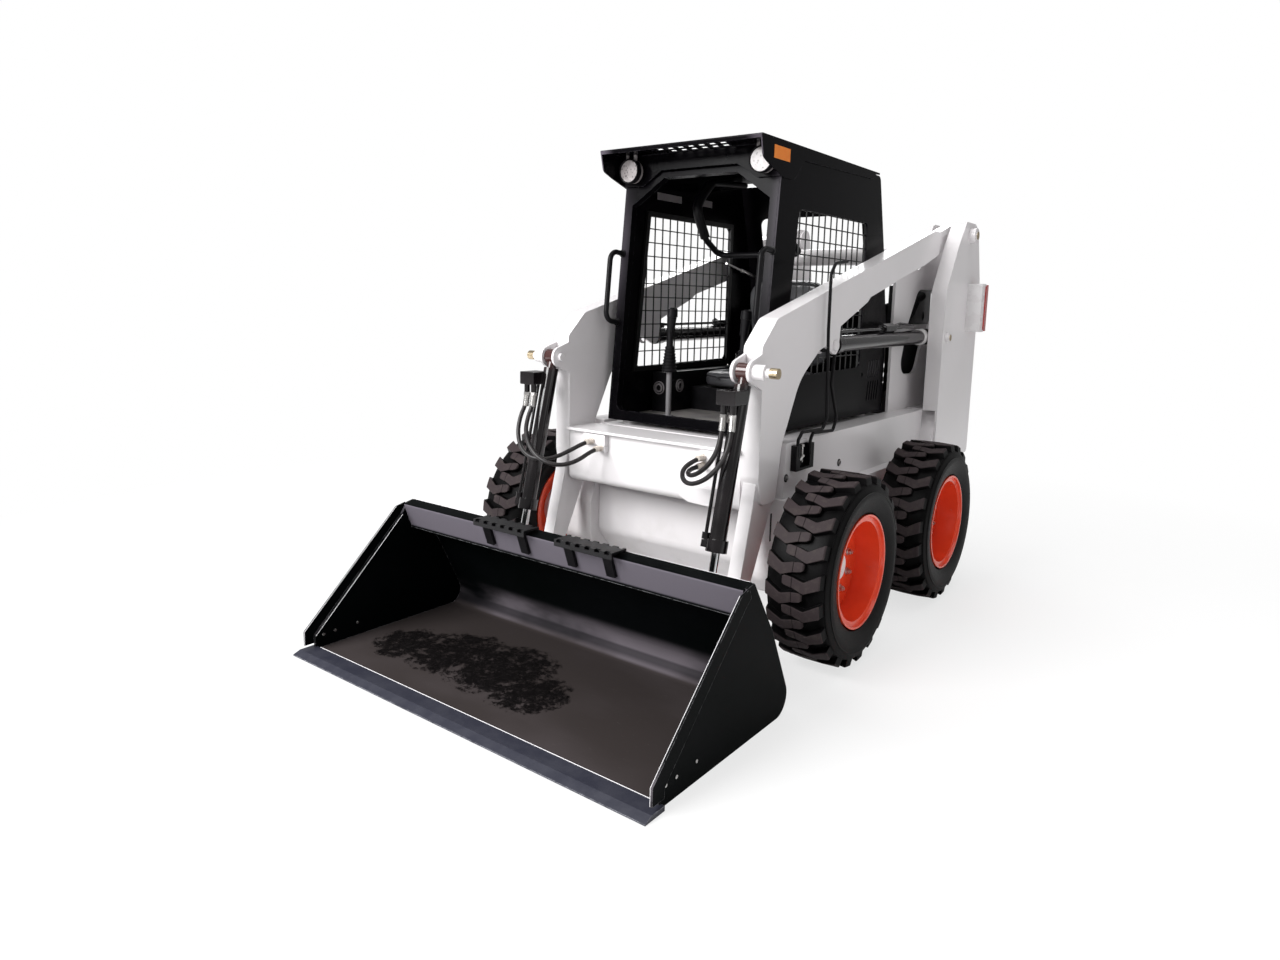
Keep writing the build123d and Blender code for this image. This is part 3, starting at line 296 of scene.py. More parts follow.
def edge_steel():
    s = Surface("edge_steel", (0.026, 0.027, 0.040), 0.34, specular=0.3).rounded(0.002)
    s.layer((0.045, 0.046, 0.060), s.noise(14, 6, 0.6), 0.6, 0.32)
    s.worn_edges((0.34, 0.34, 0.38), 0.005, s.noise(30, 6, 0.65, low=0.36, high=0.6), 0.8, 0.28)
    return s.bump(s.noise(90, 6), 0.15, 0.0008).done()


def rim_paint():
    s = Surface("rim_paint", (0.88, 0.080, 0.028), 0.22, specular=0.45, coat=0.25, coat_rough=0.06).rounded(0.003)
    s.layer((0.72, 0.055, 0.018), s.noise(6), 0.5, 0.28)
    s.layer((0.20, 0.06, 0.04), s.noise(30, 7, 0.7, low=0.62, high=0.72), 0.35, 0.6)
    s.worn_edges((0.45, 0.07, 0.03), 0.003, s.noise(50, 5, 0.6, low=0.52, high=0.7), 0.4, 0.6)
    return s.bump(s.noise(260, 2), 0.05, 0.0004).done()


def tyre_rubber():
    """Black rubber, with a painted highlight that makes the tops of the lugs paler, and a dark seam across each."""
    s = Surface("tyre_rubber", (0.0020, 0.0019, 0.0020), 0.40, specular=0.06).rounded(0.0015)
    lit_lug_tops = s.attribute("lift", 0.8, 0.98)
    s.layer((0.0055, 0.005, 0.0055), s.noise(16, 6, 0.6), 0.5, 0.45)
    # Painted highlight: the tops of the lugs paler and brownish, mottled, where the light falls on them.
    s.layer((0.044, 0.034, 0.036), lit_lug_tops, 0.85, 0.5)
    s.layer((0.060, 0.050, 0.046), s.times(lit_lug_tops, s.noise(45, 6, 0.65, low=0.45, high=0.7)), 0.5, 0.62)
    s.layer((0.005, 0.0045, 0.005), s.attribute("seam", 0.4, 0.6), 0.8, 0.6)
    return s.bump(s.noise(300, 5), 0.22, 0.0006).done()


def cylinder_black():
    """Glossy black with a red-brown glow on the tilt cylinders' heads."""
    s = Surface("cylinder_black", (0.0035, 0.0026, 0.0032), 0.12, specular=0.35, coat=0.35, coat_rough=0.04)
    s.rounded(0.002)
    s.layer((0.013, 0.010, 0.011), s.noise(8), 0.5, 0.22)
    s.layer((0.075, 0.030, 0.028), s.times(s.along("Z", 1.10, 1.16), s.along("Y", -0.60, -0.65)), 0.7, 0.15)
    return s.bump(s.noise(300, 2), 0.04, 0.0004).done()


def rod_chrome():
    s = Surface("rod_chrome", (0.78, 0.78, 0.79), 0.07, metal=1.0)
    return s.layer((0.60, 0.60, 0.62), s.noise(60, 4, 0.6, stretch=(1, 1, 0.05)), 0.5, 0.16).done()


def bare_steel():
    s = Surface("bare_steel", (0.62, 0.61, 0.60), 0.26, metal=1.0).rounded(0.001)
    s.layer((0.40, 0.38, 0.36), s.noise(70, 5, 0.6), 0.6, 0.4)
    return s.bump(s.noise(250, 3), 0.1, 0.0004).done()


def pale_zinc():
    s = Surface("pale_zinc", (0.66, 0.60, 0.54), 0.3, metal=0.55).rounded(0.001)
    s.layer((0.50, 0.45, 0.40), s.noise(60, 5, 0.6), 0.5, 0.42)
    return s.bump(s.noise(250, 3), 0.1, 0.0004).done()


def pin_brass():
    s = Surface("pin_brass", (0.58, 0.48, 0.33), 0.3, metal=1.0)
    s.layer((0.34, 0.27, 0.17), s.noise(80, 5, 0.6), 0.6, 0.45)
    return s.bump(s.noise(250, 3), 0.1, 0.0004).done()


def hose_rubber():
    s = Surface("hose_rubber", (0.009, 0.0075, 0.008), 0.36, specular=0.4)
    s.layer((0.024, 0.019, 0.020), s.noise(40, 5, 0.6), 0.6, 0.48)
    return s.bump(s.noise(700, 3), 0.15, 0.0004).done()


def engine_iron():
    s = Surface("engine_iron", (0.035, 0.035, 0.038), 0.6, metal=0.3)
    s.layer((0.09, 0.075, 0.06), s.noise(18, 6, 0.6), 0.6, 0.75)
    return s.bump(s.noise(120, 5), 0.3, 0.001).done()


def floor_plate():
    s = Surface("floor_plate", (0.16, 0.15, 0.15), 0.5, metal=0.2)
    s.layer((0.30, 0.28, 0.26), s.noise(14, 6, 0.6), 0.6, 0.6)
    return s.bump(s.noise(90, 4), 0.2, 0.001).done()


def seat_vinyl():
    s = Surface("seat_vinyl", (0.022, 0.022, 0.025), 0.4, specular=0.4, coat=0.5, coat_rough=0.15)
    s.layer((0.07, 0.07, 0.075), s.noise(9, 5, 0.6), 0.6, 0.5)
    s.bump(s.noise(28, 5, 0.7), 0.35, 0.004)
    return s.bump(s.noise(900, 2), 0.35, 0.0006).done()


def lamp_glass():
    """Pale lens with a field of small dark lights."""
    s = Surface("headlamp", (0.27, 0.245, 0.245), 0.25, coat=0.25, coat_rough=0.05).rounded(0.003)
    s.layer((0.05, 0.045, 0.045), s.specks(62, 0.24, 0.30), 0.85, 0.25)
    s.layer((0.40, 0.37, 0.37), s.noise(30, 3), 0.4, 0.25)
    return s.bump(s.specks(62, 0.2, 0.5), 0.3, 0.001).done()


def red_lens():
    s = Surface("red_lens", (0.42, 0.012, 0.010), 0.14, coat=0.8, coat_rough=0.04).rounded(0.003)
    s.layer((0.60, 0.03, 0.02), s.noise(60, 3), 0.5, 0.2)
    return s.bump(s.noise(140, 1), 0.3, 0.001).done()


def plain(name, colour, rough, specular, grain):
    """Make an even finish with a fine grain, a little paler in patches."""
    s = Surface(name, colour, rough, specular=specular).rounded(0.0015)
    paler = [min(max(0.85, value), value * 1.5 + 0.002) for value in colour]
    s.layer(paler, s.noise(12, 5, 0.6), 0.5, rough + 0.1)
    return s.bump(s.noise(grain, 3), 0.15, 0.0004).done()


PLAIN_FINISHES = (  # name, colour, roughness, specular, grain
    ("step_black", (0.0035, 0.0032, 0.0040), 0.34, 0.2, 500),
    ("lamp_housing", (0.78, 0.755, 0.76), 0.25, 0.5, 500),
    ("cab_trim", (0.0045, 0.0042, 0.0050), 0.34, 0.14, 500),
    ("mesh_black", (0.003, 0.003, 0.003), 0.40, 0.3, 200),
    ("label_grey", (0.19, 0.175, 0.18), 0.40, 0.3, 500),
    ("plate_orange", (0.80, 0.20, 0.025), 0.38, 0.3, 500),
    ("shaft_grey", (0.13, 0.125, 0.13), 0.40, 0.3, 500),
    # Painted light: pale strips for the light in the roof's slots and for highlights on the bucket's edges.
    ("painted_light_strip", (0.95, 0.93, 0.95), 0.50, 0.3, 500),
    ("hub_white", (0.80, 0.77, 0.77), 0.32, 0.5, 500),
)
MATERIALS = {
    "white_paint": white_paint(), "cab_black": cab_black(), "bucket_black": bucket_black(),
    "edge_steel": edge_steel(), "rim_paint": rim_paint(), "tyre_rubber": tyre_rubber(),
    "cylinder_black": cylinder_black(), "rod_chrome": rod_chrome(), "steel": bare_steel(), "brass": pin_brass(),
    "hose_rubber": hose_rubber(), "engine_paint": engine_iron(), "floor_plate": floor_plate(),
    "seat_vinyl": seat_vinyl(), "headlamp": lamp_glass(), "red_lens": red_lens(), "pale_zinc": pale_zinc(),
}
MATERIALS.update((row[0], plain(*row)) for row in PLAIN_FINISHES)


def wear(piece, material):
    """Give a piece one material."""
    piece.data.materials.clear()
    piece.data.materials.append(MATERIALS[material])


for row in frame["record"]["subparts"]:
    wear(NODES[row["node"]], row["material_slot"])
wear(NODES["bucket_steps"], "step_black")


# ------------------------------------------------------------------ How pieces are made
def make(name, mesh, material, body, replaced=(), smooth=None):
    """Make a piece from a bmesh in metres, and set its finish and the body that it rides on."""
    data = bpy.data.meshes.new(name)
    mesh.to_mesh(data)
    mesh.free()
    piece = bpy.data.objects.new(name, data)
    bpy.context.scene.collection.objects.link(piece)
    if smooth is not None:
        data.shade_smooth()
        data.set_sharp_from_angle(angle=math.radians(smooth))
    wear(piece, material)
    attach(piece, body)
    if replaced:
        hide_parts(*replaced)
    return piece


def tube(name, route, radius, order, steps, material):
    """Make a round tube on a smooth curve that follows a route's points."""
    curve = bpy.data.curves.new(name, "CURVE")
    curve.dimensions = "3D"
    spline = curve.splines.new("NURBS")
    spline.points.add(len(route) - 1)
    for point, place in zip(spline.points, route):
        point.co = (*at(*place), 1)
    spline.order_u = order
    spline.use_endpoint_u = True
    curve.bevel_depth = radius * MM
    curve.bevel_resolution = 6
    curve.resolution_u = steps
    curve.use_fill_caps = True
    piece = bpy.data.objects.new(name, curve)
    bpy.context.scene.collection.objects.link(piece)
    wear(piece, material)
    return piece


def rod(mesh, start, end, radius, steps=20, end_radius=None):
    """Add a round bar or a cone between two points."""
    first, last = at(*start), at(*end)
    run = last - first
    turn = run.to_track_quat("Z", "Y").to_matrix().to_4x4()
    bmesh.ops.create_cone(mesh, cap_ends=True, segments=steps, radius1=radius * MM,
                          radius2=(radius if end_radius is None else end_radius) * MM, depth=run.length,
                          matrix=Matrix.Translation((first + last) / 2) @ turn)


def stub(mesh, sign, run, place, radius, steps=20, end_radius=None):
    """Add a round bar across the machine, on one side, between two distances from the middle."""
    rod(mesh, (sign * run[0], *place), (sign * run[1], *place), radius, steps, end_radius)


def block(mesh, low, high):
    """Add a box between two corners."""
    first, last = at(*low), at(*high)
    size = [abs(value) for value in last - first]
    bmesh.ops.create_cube(mesh, size=1, matrix=Matrix.Translation((first + last) / 2) @ Matrix.Diagonal((*size, 1)))


def turned(mesh, profile, steps, flip=1):
    """Turn a profile of (x, radius) about the X axis through the frame's origin, and give its points."""
    rings = []
    for x, radius in profile:
        angles = [2 * math.pi * k / steps for k in range(steps)]
        rings.append([mesh.verts.new((flip * x * MM, radius * math.cos(a) * MM, radius * math.sin(a) * MM))
                      for a in angles])
    for first, second in zip(rings, rings[1:]):
        for k in range(steps):
            following = (k + 1) % steps
            mesh.faces.new((first[k], first[following], second[following], second[k]))
    return [vert for ring in rings for vert in ring]


def washer(mesh, profile, steps, place, turn):
    """Add a turned profile at a place, with its axis swung about Z."""
    verts = turned(mesh, profile, steps)
    matrix = Matrix.Translation(at(*place)) @ Matrix.Rotation(math.radians(turn), 4, "Z")
    bmesh.ops.transform(mesh, matrix=matrix, verts=verts)


# ------------------------------------------------------------------ Bucket hoses: the routes repeat the source's
HOSE_R, HOSE_ORDER, HOSE_STEPS = 9.5, 3, 10
HOSE_TIP_Y = -262.3
HOSES = {  # length in metres, route
    "hose_left_inner": (0.482, [
        (472.5, -405, 1000), (472, -415, 935), (468, -430, 878), (440, -436, 823), (387, -422, 778), (330, -398, 752),
        (290, -366, 752), (279, -330, 762), (298, -300, 772), (298, HOSE_TIP_Y, 772),
    ]),
    "hose_left_outer": (0.604, [
        (513.5, -405, 1000), (519, -420, 941), (517, -444, 872), (485, -460, 806), (426, -464, 754), (352, -446, 728),
        (292, -408, 740), (268, -362, 772), (296, -306, 804), (296, HOSE_TIP_Y, 804),
    ]),
    "hose_right_inner": (0.669, [
        (-524, -405, 1000), (-525, -411, 955), (-525, -440, 905), (-497, -484, 848), (-446, -512, 792),
        (-384, -520, 748), (-328, -504, 726), (-287, -465, 721), (-261, -405, 734), (-246, -310, 776),
        (-246, HOSE_TIP_Y, 776),
    ]),
    "hose_right_outer": (0.643, [
        (-565, -405, 1000), (-568, -409, 958), (-586, -427, 900), (-578, -452, 828), (-525, -482, 764),
        (-457, -486, 734), (-402, -462, 731), (-365, -425, 742), (-336, -372, 766), (-298, -308, 802),
        (-298, HOSE_TIP_Y, 802),
    ]),
}
SLEEVES = {  # distances from the hose's end
    "top": dict(radius=13.4, sleeve=(-6, 52), nut=(-11, 2), ridges=(4, 14, 24, 34, 44), ridge_radius=14.1),
    "low": dict(radius=12.6, sleeve=(0, 44), nut=(0, 12), ridges=(16, 25, 34), ridge_radius=13.4),
}
RIDGE_WIDTH = 3
HOSE_NUT_R = 15.5


def hoses():
    for name, (length, route) in HOSES.items():
        hose = tube(name + "_line", route, HOSE_R, HOSE_ORDER, HOSE_STEPS, "hose_rubber")
        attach(hose, "arm")
        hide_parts(name)


def add_sleeve(mesh, end, towards, radius, sleeve, nut, ridges, ridge_radius):
    """Add a crimped sleeve and its nut at a hose's end, pointing at the route's next point."""
    end = Vector(end)
    along = (Vector(towards) - end).normalized()
    rod(mesh, end + along * sleeve[0], end + along * sleeve[1], radius)
    for step in ridges:
        rod(mesh, end + along * step, end + along * (step + RIDGE_WIDTH), ridge_radius)
    rod(mesh, end + along * nut[0], end + along * nut[1], HOSE_NUT_R, 6)


def hose_sleeves():
    top, low = bmesh.new(), bmesh.new()
    for _, route in HOSES.values():
        add_sleeve(top, route[0], route[1], **SLEEVES["top"])
        add_sleeve(low, route[-1], route[-2], **SLEEVES["low"])
    make("hose_sleeves_top", top, "steel", "arm", smooth=30)
    make("hose_sleeves_low", low, "pale_zinc", "arm", smooth=30)


# ------------------------------------------------------------------ Tyres and wheels
LUG_COUNT = 21
TYRE_STEPS = 180
CARCASS = [  # distance from the tyre's middle, radius
    (0, 361), (60, 360), (96, 356), (108, 352), (114, 348), (117, 345.5), (118.5, 347.5), (120.5, 345), (122, 340),
    (127, 327), (128, 323), (130.5, 322.5), (131, 319.5), (130, 317), (131.5, 306), (130.5, 296), (127, 278),
    (122, 258), (117, 244), (115, 238), (112, 236), (106, 232), (98.5, 229), (98.2, 209),
]
LUG_STATIONS = [  # distance from the middle, top radius, foot radius, shift along the tread, half width, seam
    (-43, 372, 356, -6, 7, 0), (-41.5, 381, 357, -5.8, 11, 0), (-38, 385.6, 357, -5.2, 14.5, 0),
    (-32, 386, 358, -4.3, 17.5, 0), (-22, 386, 358, -3, 19, 0), (-1.6, 386, 359, 0, 19.5, 0),
    (-0.9, 384.6, 359, 0, 19.2, 1), (0.9, 384.6, 359, 0, 19.2, 1), (1.6, 386, 359, 0, 19.5, 0),
    (42, 386, 358, 13, 21.5, 0), (50, 385.5, 357, 13.5, 22.5, 0), (106, 383, 351, -16, 26.5, 0),
    (110, 380, 348, -17.5, 26, 0), (114, 354, 344, -19, 28, 0), (117, 342, 340, -20, 29, 0),
]
LUG_ACROSS = (  # share of the half width, share of the height
    (-1.13, 0), (-1.02, 0.93), (-0.95, 1), (-0.32, 1), (0.32, 1), (0.95, 1), (1.02, 0.93), (1.13, 0),
)
LIFT_FROM_R, LIFT_RUN = 350, 30


def add_lug(mesh, lift, seam, angle, flip):
    """Loft one lug over its stations, and mark its top for the rubber's painted highlight and its seam for the dark
    seam.
    """
    sections = []
    for x, top, foot, shift, half, line in LUG_STATIONS:
        ring = []
        for across, level in LUG_ACROSS:
            radius = foot + (top - foot) * level
            a = angle + (shift + across * half) / TYRE_R
            vert = mesh.verts.new((flip * x * MM, -radius * math.cos(a) * MM, -radius * math.sin(a) * MM))
            vert[lift] = level * min(1, max(0, (top - LIFT_FROM_R) / LIFT_RUN))
            vert[seam] = line
            ring.append(vert)
        sections.append(ring)
    for first, second in zip(sections, sections[1:]):
        for quad in zip(first, first[1:], second[1:], second):
            mesh.faces.new(quad[::flip])
    mesh.faces.new(sections[0][::flip])
    mesh.faces.new(sections[-1][::-flip])


def tyre_mesh(sign):
    """Turn the carcass and add two rows of lugs that interlace, half a pitch apart."""
    mesh = bmesh.new()
    lift = mesh.verts.layers.float.new("lift")
    seam = mesh.verts.layers.float.new("seam")
    turned(mesh, [(-x, radius) for x, radius in CARCASS[::-1]] + CARCASS[1:], TYRE_STEPS)
    pitch = 2 * math.pi / LUG_COUNT
    for k in range(LUG_COUNT):
        add_lug(mesh, lift, seam, -math.pi / 2 - k * pitch, 1)
        add_lug(mesh, lift, seam, -math.pi / 2 - (k + 0.5) * pitch, -1)
    bmesh.ops.scale(mesh, vec=(sign, 1, 1), verts=mesh.verts)
    bmesh.ops.recalc_face_normals(mesh, faces=mesh.faces)
    return mesh


def tyres():
    for side, sign in SIDES:
        for axle, axle_y in AXLES:
            mesh = tyre_mesh(sign)
            mesh.transform(Matrix.Translation(at(sign * TRACK_HALF, axle_y, TYRE_R)))
            make(f"tread_{axle}_{side}", mesh, "tyre_rubber", f"wheel_{axle}_{side}",
                 replaced=[f"tyre_{axle}_{side}"], smooth=24)


DISC_FACE_X, DISH_X, DISH_SIDES = 754, 784, 96
DISH = [  # distance from the machine's middle, radius
    (DISC_FACE_X, 202), (DISH_X - 12, 202), (DISH_X - 4, 194), (DISH_X, 184), (DISH_X, 150), (DISH_X + 1, 148),
    (DISH_X + 1, 60), (DISC_FACE_X, 60),
]
NUT_COUNT, NUT_RING_R, NUT_TURN = 8, 108, 0.47
NUT_STEPS = [  # run from the dish's face, radius, sides, end radius
    ((1, 4), 16, 20, 16), ((4, 16), 12.5, 6, 11.5), ((16, 22), 6.5, 12, 6.5),
]
HUB_CAP = [  # run from the machine's middle, radius, sides, end radius
    ((770, 800), 60, 48, 52), ((800, 806), 34, 32, 32),
]


def wheels():
    for side, sign in SIDES:
        for axle, axle_y in AXLES:
            body = f"wheel_{axle}_{side}"
            mesh = bmesh.new()
            turned(mesh, DISH, DISH_SIDES, flip=sign)
            bmesh.ops.translate(mesh, verts=mesh.verts, vec=at(0, axle_y, TYRE_R))
            bmesh.ops.recalc_face_normals(mesh, faces=mesh.faces)
            make(f"wheel_dish_{axle}_{side}", mesh, "rim_paint", body, smooth=35)
            mesh = bmesh.new()
            for index in range(NUT_COUNT):
                turn = 2 * math.pi * (index + NUT_TURN) / NUT_COUNT
                place = (axle_y + NUT_RING_R * math.cos(turn), TYRE_R + NUT_RING_R * math.sin(turn))
                for (low, high), radius, sides, end_radius in NUT_STEPS:
                    stub(mesh, sign, (DISH_X + low, DISH_X + high), place, radius, sides, end_radius)
            make(f"wheel_nuts_{axle}_{side}", mesh, "steel", body, smooth=30)
            mesh = bmesh.new()
            for run, radius, sides, end_radius in HUB_CAP:
                stub(mesh, sign, run, (axle_y, TYRE_R), radius, sides, end_radius)
            make(f"hub_cap_{axle}_{side}", mesh, "hub_white", body, smooth=30)


# ------------------------------------------------------------------ Cab
SLOT_ROWS = ((-28, -148, 7), (28, -114, 6))  # front edge, first middle across, number
SLOT_PITCH, ROOF_TOP = 54, 2092
SLOT_STRIP = ((-17, 32.5, ROOF_TOP - 2.6), (17, 33.9, ROOF_TOP - 0.4))  # low and high corner, from a slot's place


def roof_slot_light():
    """Paint the light that shows through the roof's slots, as pale strips along their rear edges."""
    mesh = bmesh.new()
    for y, first, count in SLOT_ROWS:
        for index in range(count):
            x = first + index * SLOT_PITCH
            block(mesh, *((x + across, y + back, z) for across, back, z in SLOT_STRIP))
    make("roof_slot_light", mesh, "painted_light_strip", "root")


GRIP_X, GRIP_R, GRIP_ORDER, GRIP_STEPS = -230, 24, 4, 12
GRIP_LINE = ((540, 2014), (470, 1958), (422, 1900), (420, 1868), (452, 1820), (500, 1750))


def lap_grip():
    """Wrap the lap bar in its foam grip."""
    route = [(GRIP_X, y, z) for y, z in GRIP_LINE]
    piece = tube("lap_grip", route, GRIP_R, GRIP_ORDER, GRIP_STEPS, "cab_trim")
    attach(piece, "root")


STRUT_X, STRUT_ROD_R, STRUT_BARREL_R = -372, 7, 12
STRUT_LINE = ((940, 1644), (1100, 1613), (1257, 1583))


def lap_strut():
    """Add the lap bar's gas strut: its rod, then its barrel."""
    mesh = bmesh.new()
    top, middle, low = ((STRUT_X, y, z) for y, z in STRUT_LINE)
    rod(mesh, top, middle, STRUT_ROD_R)
    rod(mesh, middle, low, STRUT_BARREL_R)
    make("lap_strut", mesh, "steel", "root", smooth=30)


SOCKETS = (((-343, 299.5, 1001), -90), ((-289.5, 400, 1010), 0))  # place, turn about Z in degrees
SOCKET_RINGS = ((33, 28, 4), (22, 15, 8))  # outer radius, inner radius, depth


def console_sockets():
    """Add two round sockets on the right console, one on its front and one on its inner side."""
    mesh = bmesh.new()
    for place, turn in SOCKETS:
        for outer, inner, depth in SOCKET_RINGS:
            washer(mesh, [(0, outer), (depth, outer), (depth, inner), (0, inner)], 40, place, turn)
    make("console_sockets", mesh, "label_grey", "root", smooth=30)


LAMP = (343, 20, 2013)
LAMP_RING = [(-24, 54), (4, 54), (6, 51), (0, 48), (-2, 48)]  # distance from the lens, radius


def lamp_rings():
    """Add the black rings round the work lamps."""
    mesh = bmesh.new()
    x, y, z = LAMP
    for _, sign in SIDES:
        washer(mesh, LAMP_RING, 48, (sign * x, y, z), -90)
    make("lamp_rings", mesh, "cab_trim", "root", smooth=30)


CHEEK_X, CHEEK_WALL, WALL_X, WALL_WALL = 413, 1.2, -385, 2
CHEEK_PLATE = ((4, 2011), (140, 2063))  # low and high corner in y, z
WALL_PLATES = (((301, 1920), (508, 1954)), ((682, 1927), (792, 1960)))


def plates():
    """Add plain plates: orange on the roof's cheek, grey on the wall inside."""
    mesh = bmesh.new()
    low, high = CHEEK_PLATE
    block(mesh, (CHEEK_X, *low), (CHEEK_X + CHEEK_WALL, *high))
    make("cheek_plate", mesh, "plate_orange", "root")
    mesh = bmesh.new()
    for low, high in WALL_PLATES:
        block(mesh, (WALL_X, *low), (WALL_X + WALL_WALL, *high))
    make("wall_plates", mesh, "label_grey", "root")


LEVERS_X, LEVER_Y, LEVER_FLOOR_Z = (-142, 250), 100, 889
SHAFT = dict(height=222, radius=13, foot_height=14, foot_radius=25)
BOOT = dict(foot=216, pleats=8, pitch=15, crest=8, foot_radius=33, crest_radius=37, high_radius=31)
BOOT_TAPER = dict(foot=1.6, crest=1.9)  # how much each pleat is narrower than the one below
LEVER_GRIP = [  # start and end as (x, y, z) from the lever's foot, radius, sides, end radius
    ((0, 0, 330), (0, 0, 404), 15, 24, 13), ((0, 0, 400), (8, 0, 470), 18, 24, 21),
    ((8, 0, 470), (10, 0, 506), 25, 24, 23), ((10, -18, 494), (10, 22, 500), 13, 20, 13),
    ((10, 0, 506), (10, 0, 512), 16, 20, 10),
]


def levers():
    """Add the two control levers: a grey shaft, a pleated boot and a shaped grip."""
    shafts, boots = bmesh.new(), bmesh.new()
    for x in LEVERS_X:
        foot = Vector((x, LEVER_Y, LEVER_FLOOR_Z))
        up = Vector((0, 0, 1))
        rod(shafts, foot, foot + up * SHAFT["height"], SHAFT["radius"])
        rod(shafts, foot, foot + up * SHAFT["foot_height"], SHAFT["foot_radius"])
        for index in range(BOOT["pleats"]):
            low = foot + up * (BOOT["foot"] + index * BOOT["pitch"])
            crest, high = low + up * BOOT["crest"], low + up * BOOT["pitch"]
            foot_radius = BOOT["foot_radius"] - index * BOOT_TAPER["foot"]
            crest_radius = BOOT["crest_radius"] - index * BOOT_TAPER["crest"]
            high_radius = BOOT["high_radius"] - index * BOOT_TAPER["crest"]
            rod(boots, low, crest, foot_radius, 28, crest_radius)
            rod(boots, crest, high, crest_radius, 28, high_radius)
        for start, end, radius, sides, end_radius in LEVER_GRIP:
            rod(boots, foot + Vector(start), foot + Vector(end), radius, sides, end_radius)
    make("lever_shafts", shafts, "shaft_grey", "root", replaced=["control_levers"], smooth=30)
    make("lever_grips", boots, "cab_trim", "root", smooth=40)


CUSHIONS = (  # name, centre, lean in degrees, size
    ("seat_cushion", (0, 715, 1050), 0, (448, 486, 90)),
    ("seat_back", (0, 1004, 1328), 103, (448, 456, 92)),
)
CUSHION_CUTS, ROUNDNESS = 23, 5.0
# In the cube from -1 to 1, as (place, width): the sewn channels along and across, and the pulled-in waist
CHANNELS_U, CHANNEL_V, WAIST_W = ((-0.5, 0.035), (0.5, 0.035)), (-0.45, 0.03), (0.25, 0.07)
CHANNEL_DEPTH, WAIST_DEPTH, CROWN = 0.16, 0.03, 0.1


def ridge(value, place, width):
    """Give 1 at a place and fall off on both sides of it."""
    return math.exp(-((value - place) / width) ** 2)


def cushion_point(u, v, w):
    """Move a point of the cube from -1 to 1 on to a crowned pad with sewn channels and pulled-in sides."""
    scale = (abs(u) ** ROUNDNESS + abs(v) ** ROUNDNESS + abs(w) ** ROUNDNESS) ** (-1 / ROUNDNESS)
    scale *= max(abs(u), abs(v), abs(w))
    u, v, w = u * scale, v * scale, w * scale
    seam = sum(ridge(u, *channel) for channel in CHANNELS_U) + ridge(v, *CHANNEL_V)
    waist = 1 - WAIST_DEPTH * ridge(w, *WAIST_W)
    if w > 0:
        w = w * (1 - CROWN + CROWN * (1 - u * u) * (1 - v * v)) - CHANNEL_DEPTH * min(seam, 1)
    return u * waist, v * waist, w


def cushions():
    for name, centre, lean, size in CUSHIONS:
        mesh = bmesh.new()
        bmesh.ops.create_cube(mesh, size=2)
        bmesh.ops.subdivide_edges(mesh, edges=mesh.edges, cuts=CUSHION_CUTS, use_grid_fill=True)
        for vert in mesh.verts:
            vert.co = [share * length / 2 * MM for share, length in zip(cushion_point(*vert.co), size)]
        mesh.transform(Matrix.Translation(at(*centre)) @ Matrix.Rotation(math.radians(lean), 4, "X"))
        piece = make(name, mesh, "seat_vinyl", "root", replaced=["seat_pads"], smooth=60)


# ------------------------------------------------------------------ Body and arms
BOX_X = 545
SIDE_BOLTS = ((-14, 716), (504, 711))
RING_RUN, RING_R = (BOX_X, BOX_X + 1.5), 17
HEAD_RUN, HEAD_R = (BOX_X + 1.5, BOX_X + 7), 11


def side_bolts():
    """Add bolts with black rings to the side boxes."""
    rings, bolts = bmesh.new(), bmesh.new()
    for _, sign in SIDES:
        for place in SIDE_BOLTS:
            stub(rings, sign, RING_RUN, place, RING_R, 28)
            stub(bolts, sign, HEAD_RUN, place, HEAD_R, 6)
    make("side_bolt_rings", rings, "cab_trim", "root", smooth=30)
    make("side_bolts", bolts, "steel", "root", smooth=30)


PIN_ENDS = {  # name: body, then run from the machine's middle, place and radius of each pin
    "tilt_pin_ends": ("arm", [((612, 645), TILT_PIN, 20.6)]),
    "column_pin_ends": ("root", [((652, 654), LIFT_PIN, 17.5), ((670, 672), ARM_PIN, 23)]),
}


def pin_ends():
    """Add the bright ends of the tilt, lift and arm pins."""
    for name, (body, pins) in PIN_ENDS.items():
        mesh = bmesh.new()
        for _, sign in SIDES:
            for run, place, radius in pins:
                stub(mesh, sign, run, place, radius, 28)
        make(name, mesh, "brass", body, smooth=30)


LENSES = [  # low and high corner: behind the lamp's housing, then beside it
    ((634, 2053, 1302), (718, 2072, 1567)), ((712, 2030, 1310), (718, 2053, 1559)),
]


def tail_lenses():
    """Wrap the red lenses round the rear of the tail lamps."""
    mesh = bmesh.new()
    for _, sign in SIDES:
        for (inner, *low), (outer, *high) in LENSES:
            block(mesh, (sign * inner, *low), (sign * outer, *high))
    make("tail_lenses", mesh, "red_lens", "root")


PROP_Y = 100
PROP_PLATE = ((BOX_X + 0.2, PROP_Y - 44, 752), (BOX_X + 4, PROP_Y + 44, 848))
PROP_CLIP = [  # start and end as (x, y, z), radius
    ((556, PROP_Y, 770), (556, PROP_Y, 838), 5), ((553, PROP_Y - 14, 778), (561, PROP_Y + 4, 800), 7),
    ((556, PROP_Y, 836), (556, PROP_Y, 846), 9),
]


def prop_bracket():
    """Add the plate and the clip of the arm prop's bracket."""
    mesh = bmesh.new()
    block(mesh, *PROP_PLATE)
    make("prop_plate", mesh, "cab_trim", "root")
    mesh = bmesh.new()
    for start, end, radius in PROP_CLIP:
        rod(mesh, start, end, radius)
    make("prop_clip", mesh, "steel", "root", smooth=30)


SHADE_SHEET_WALL, SHADE_SHEET_LOW, SHADE_SHEET_HIGH = 1.2, (-134, 471), (-122, 587)


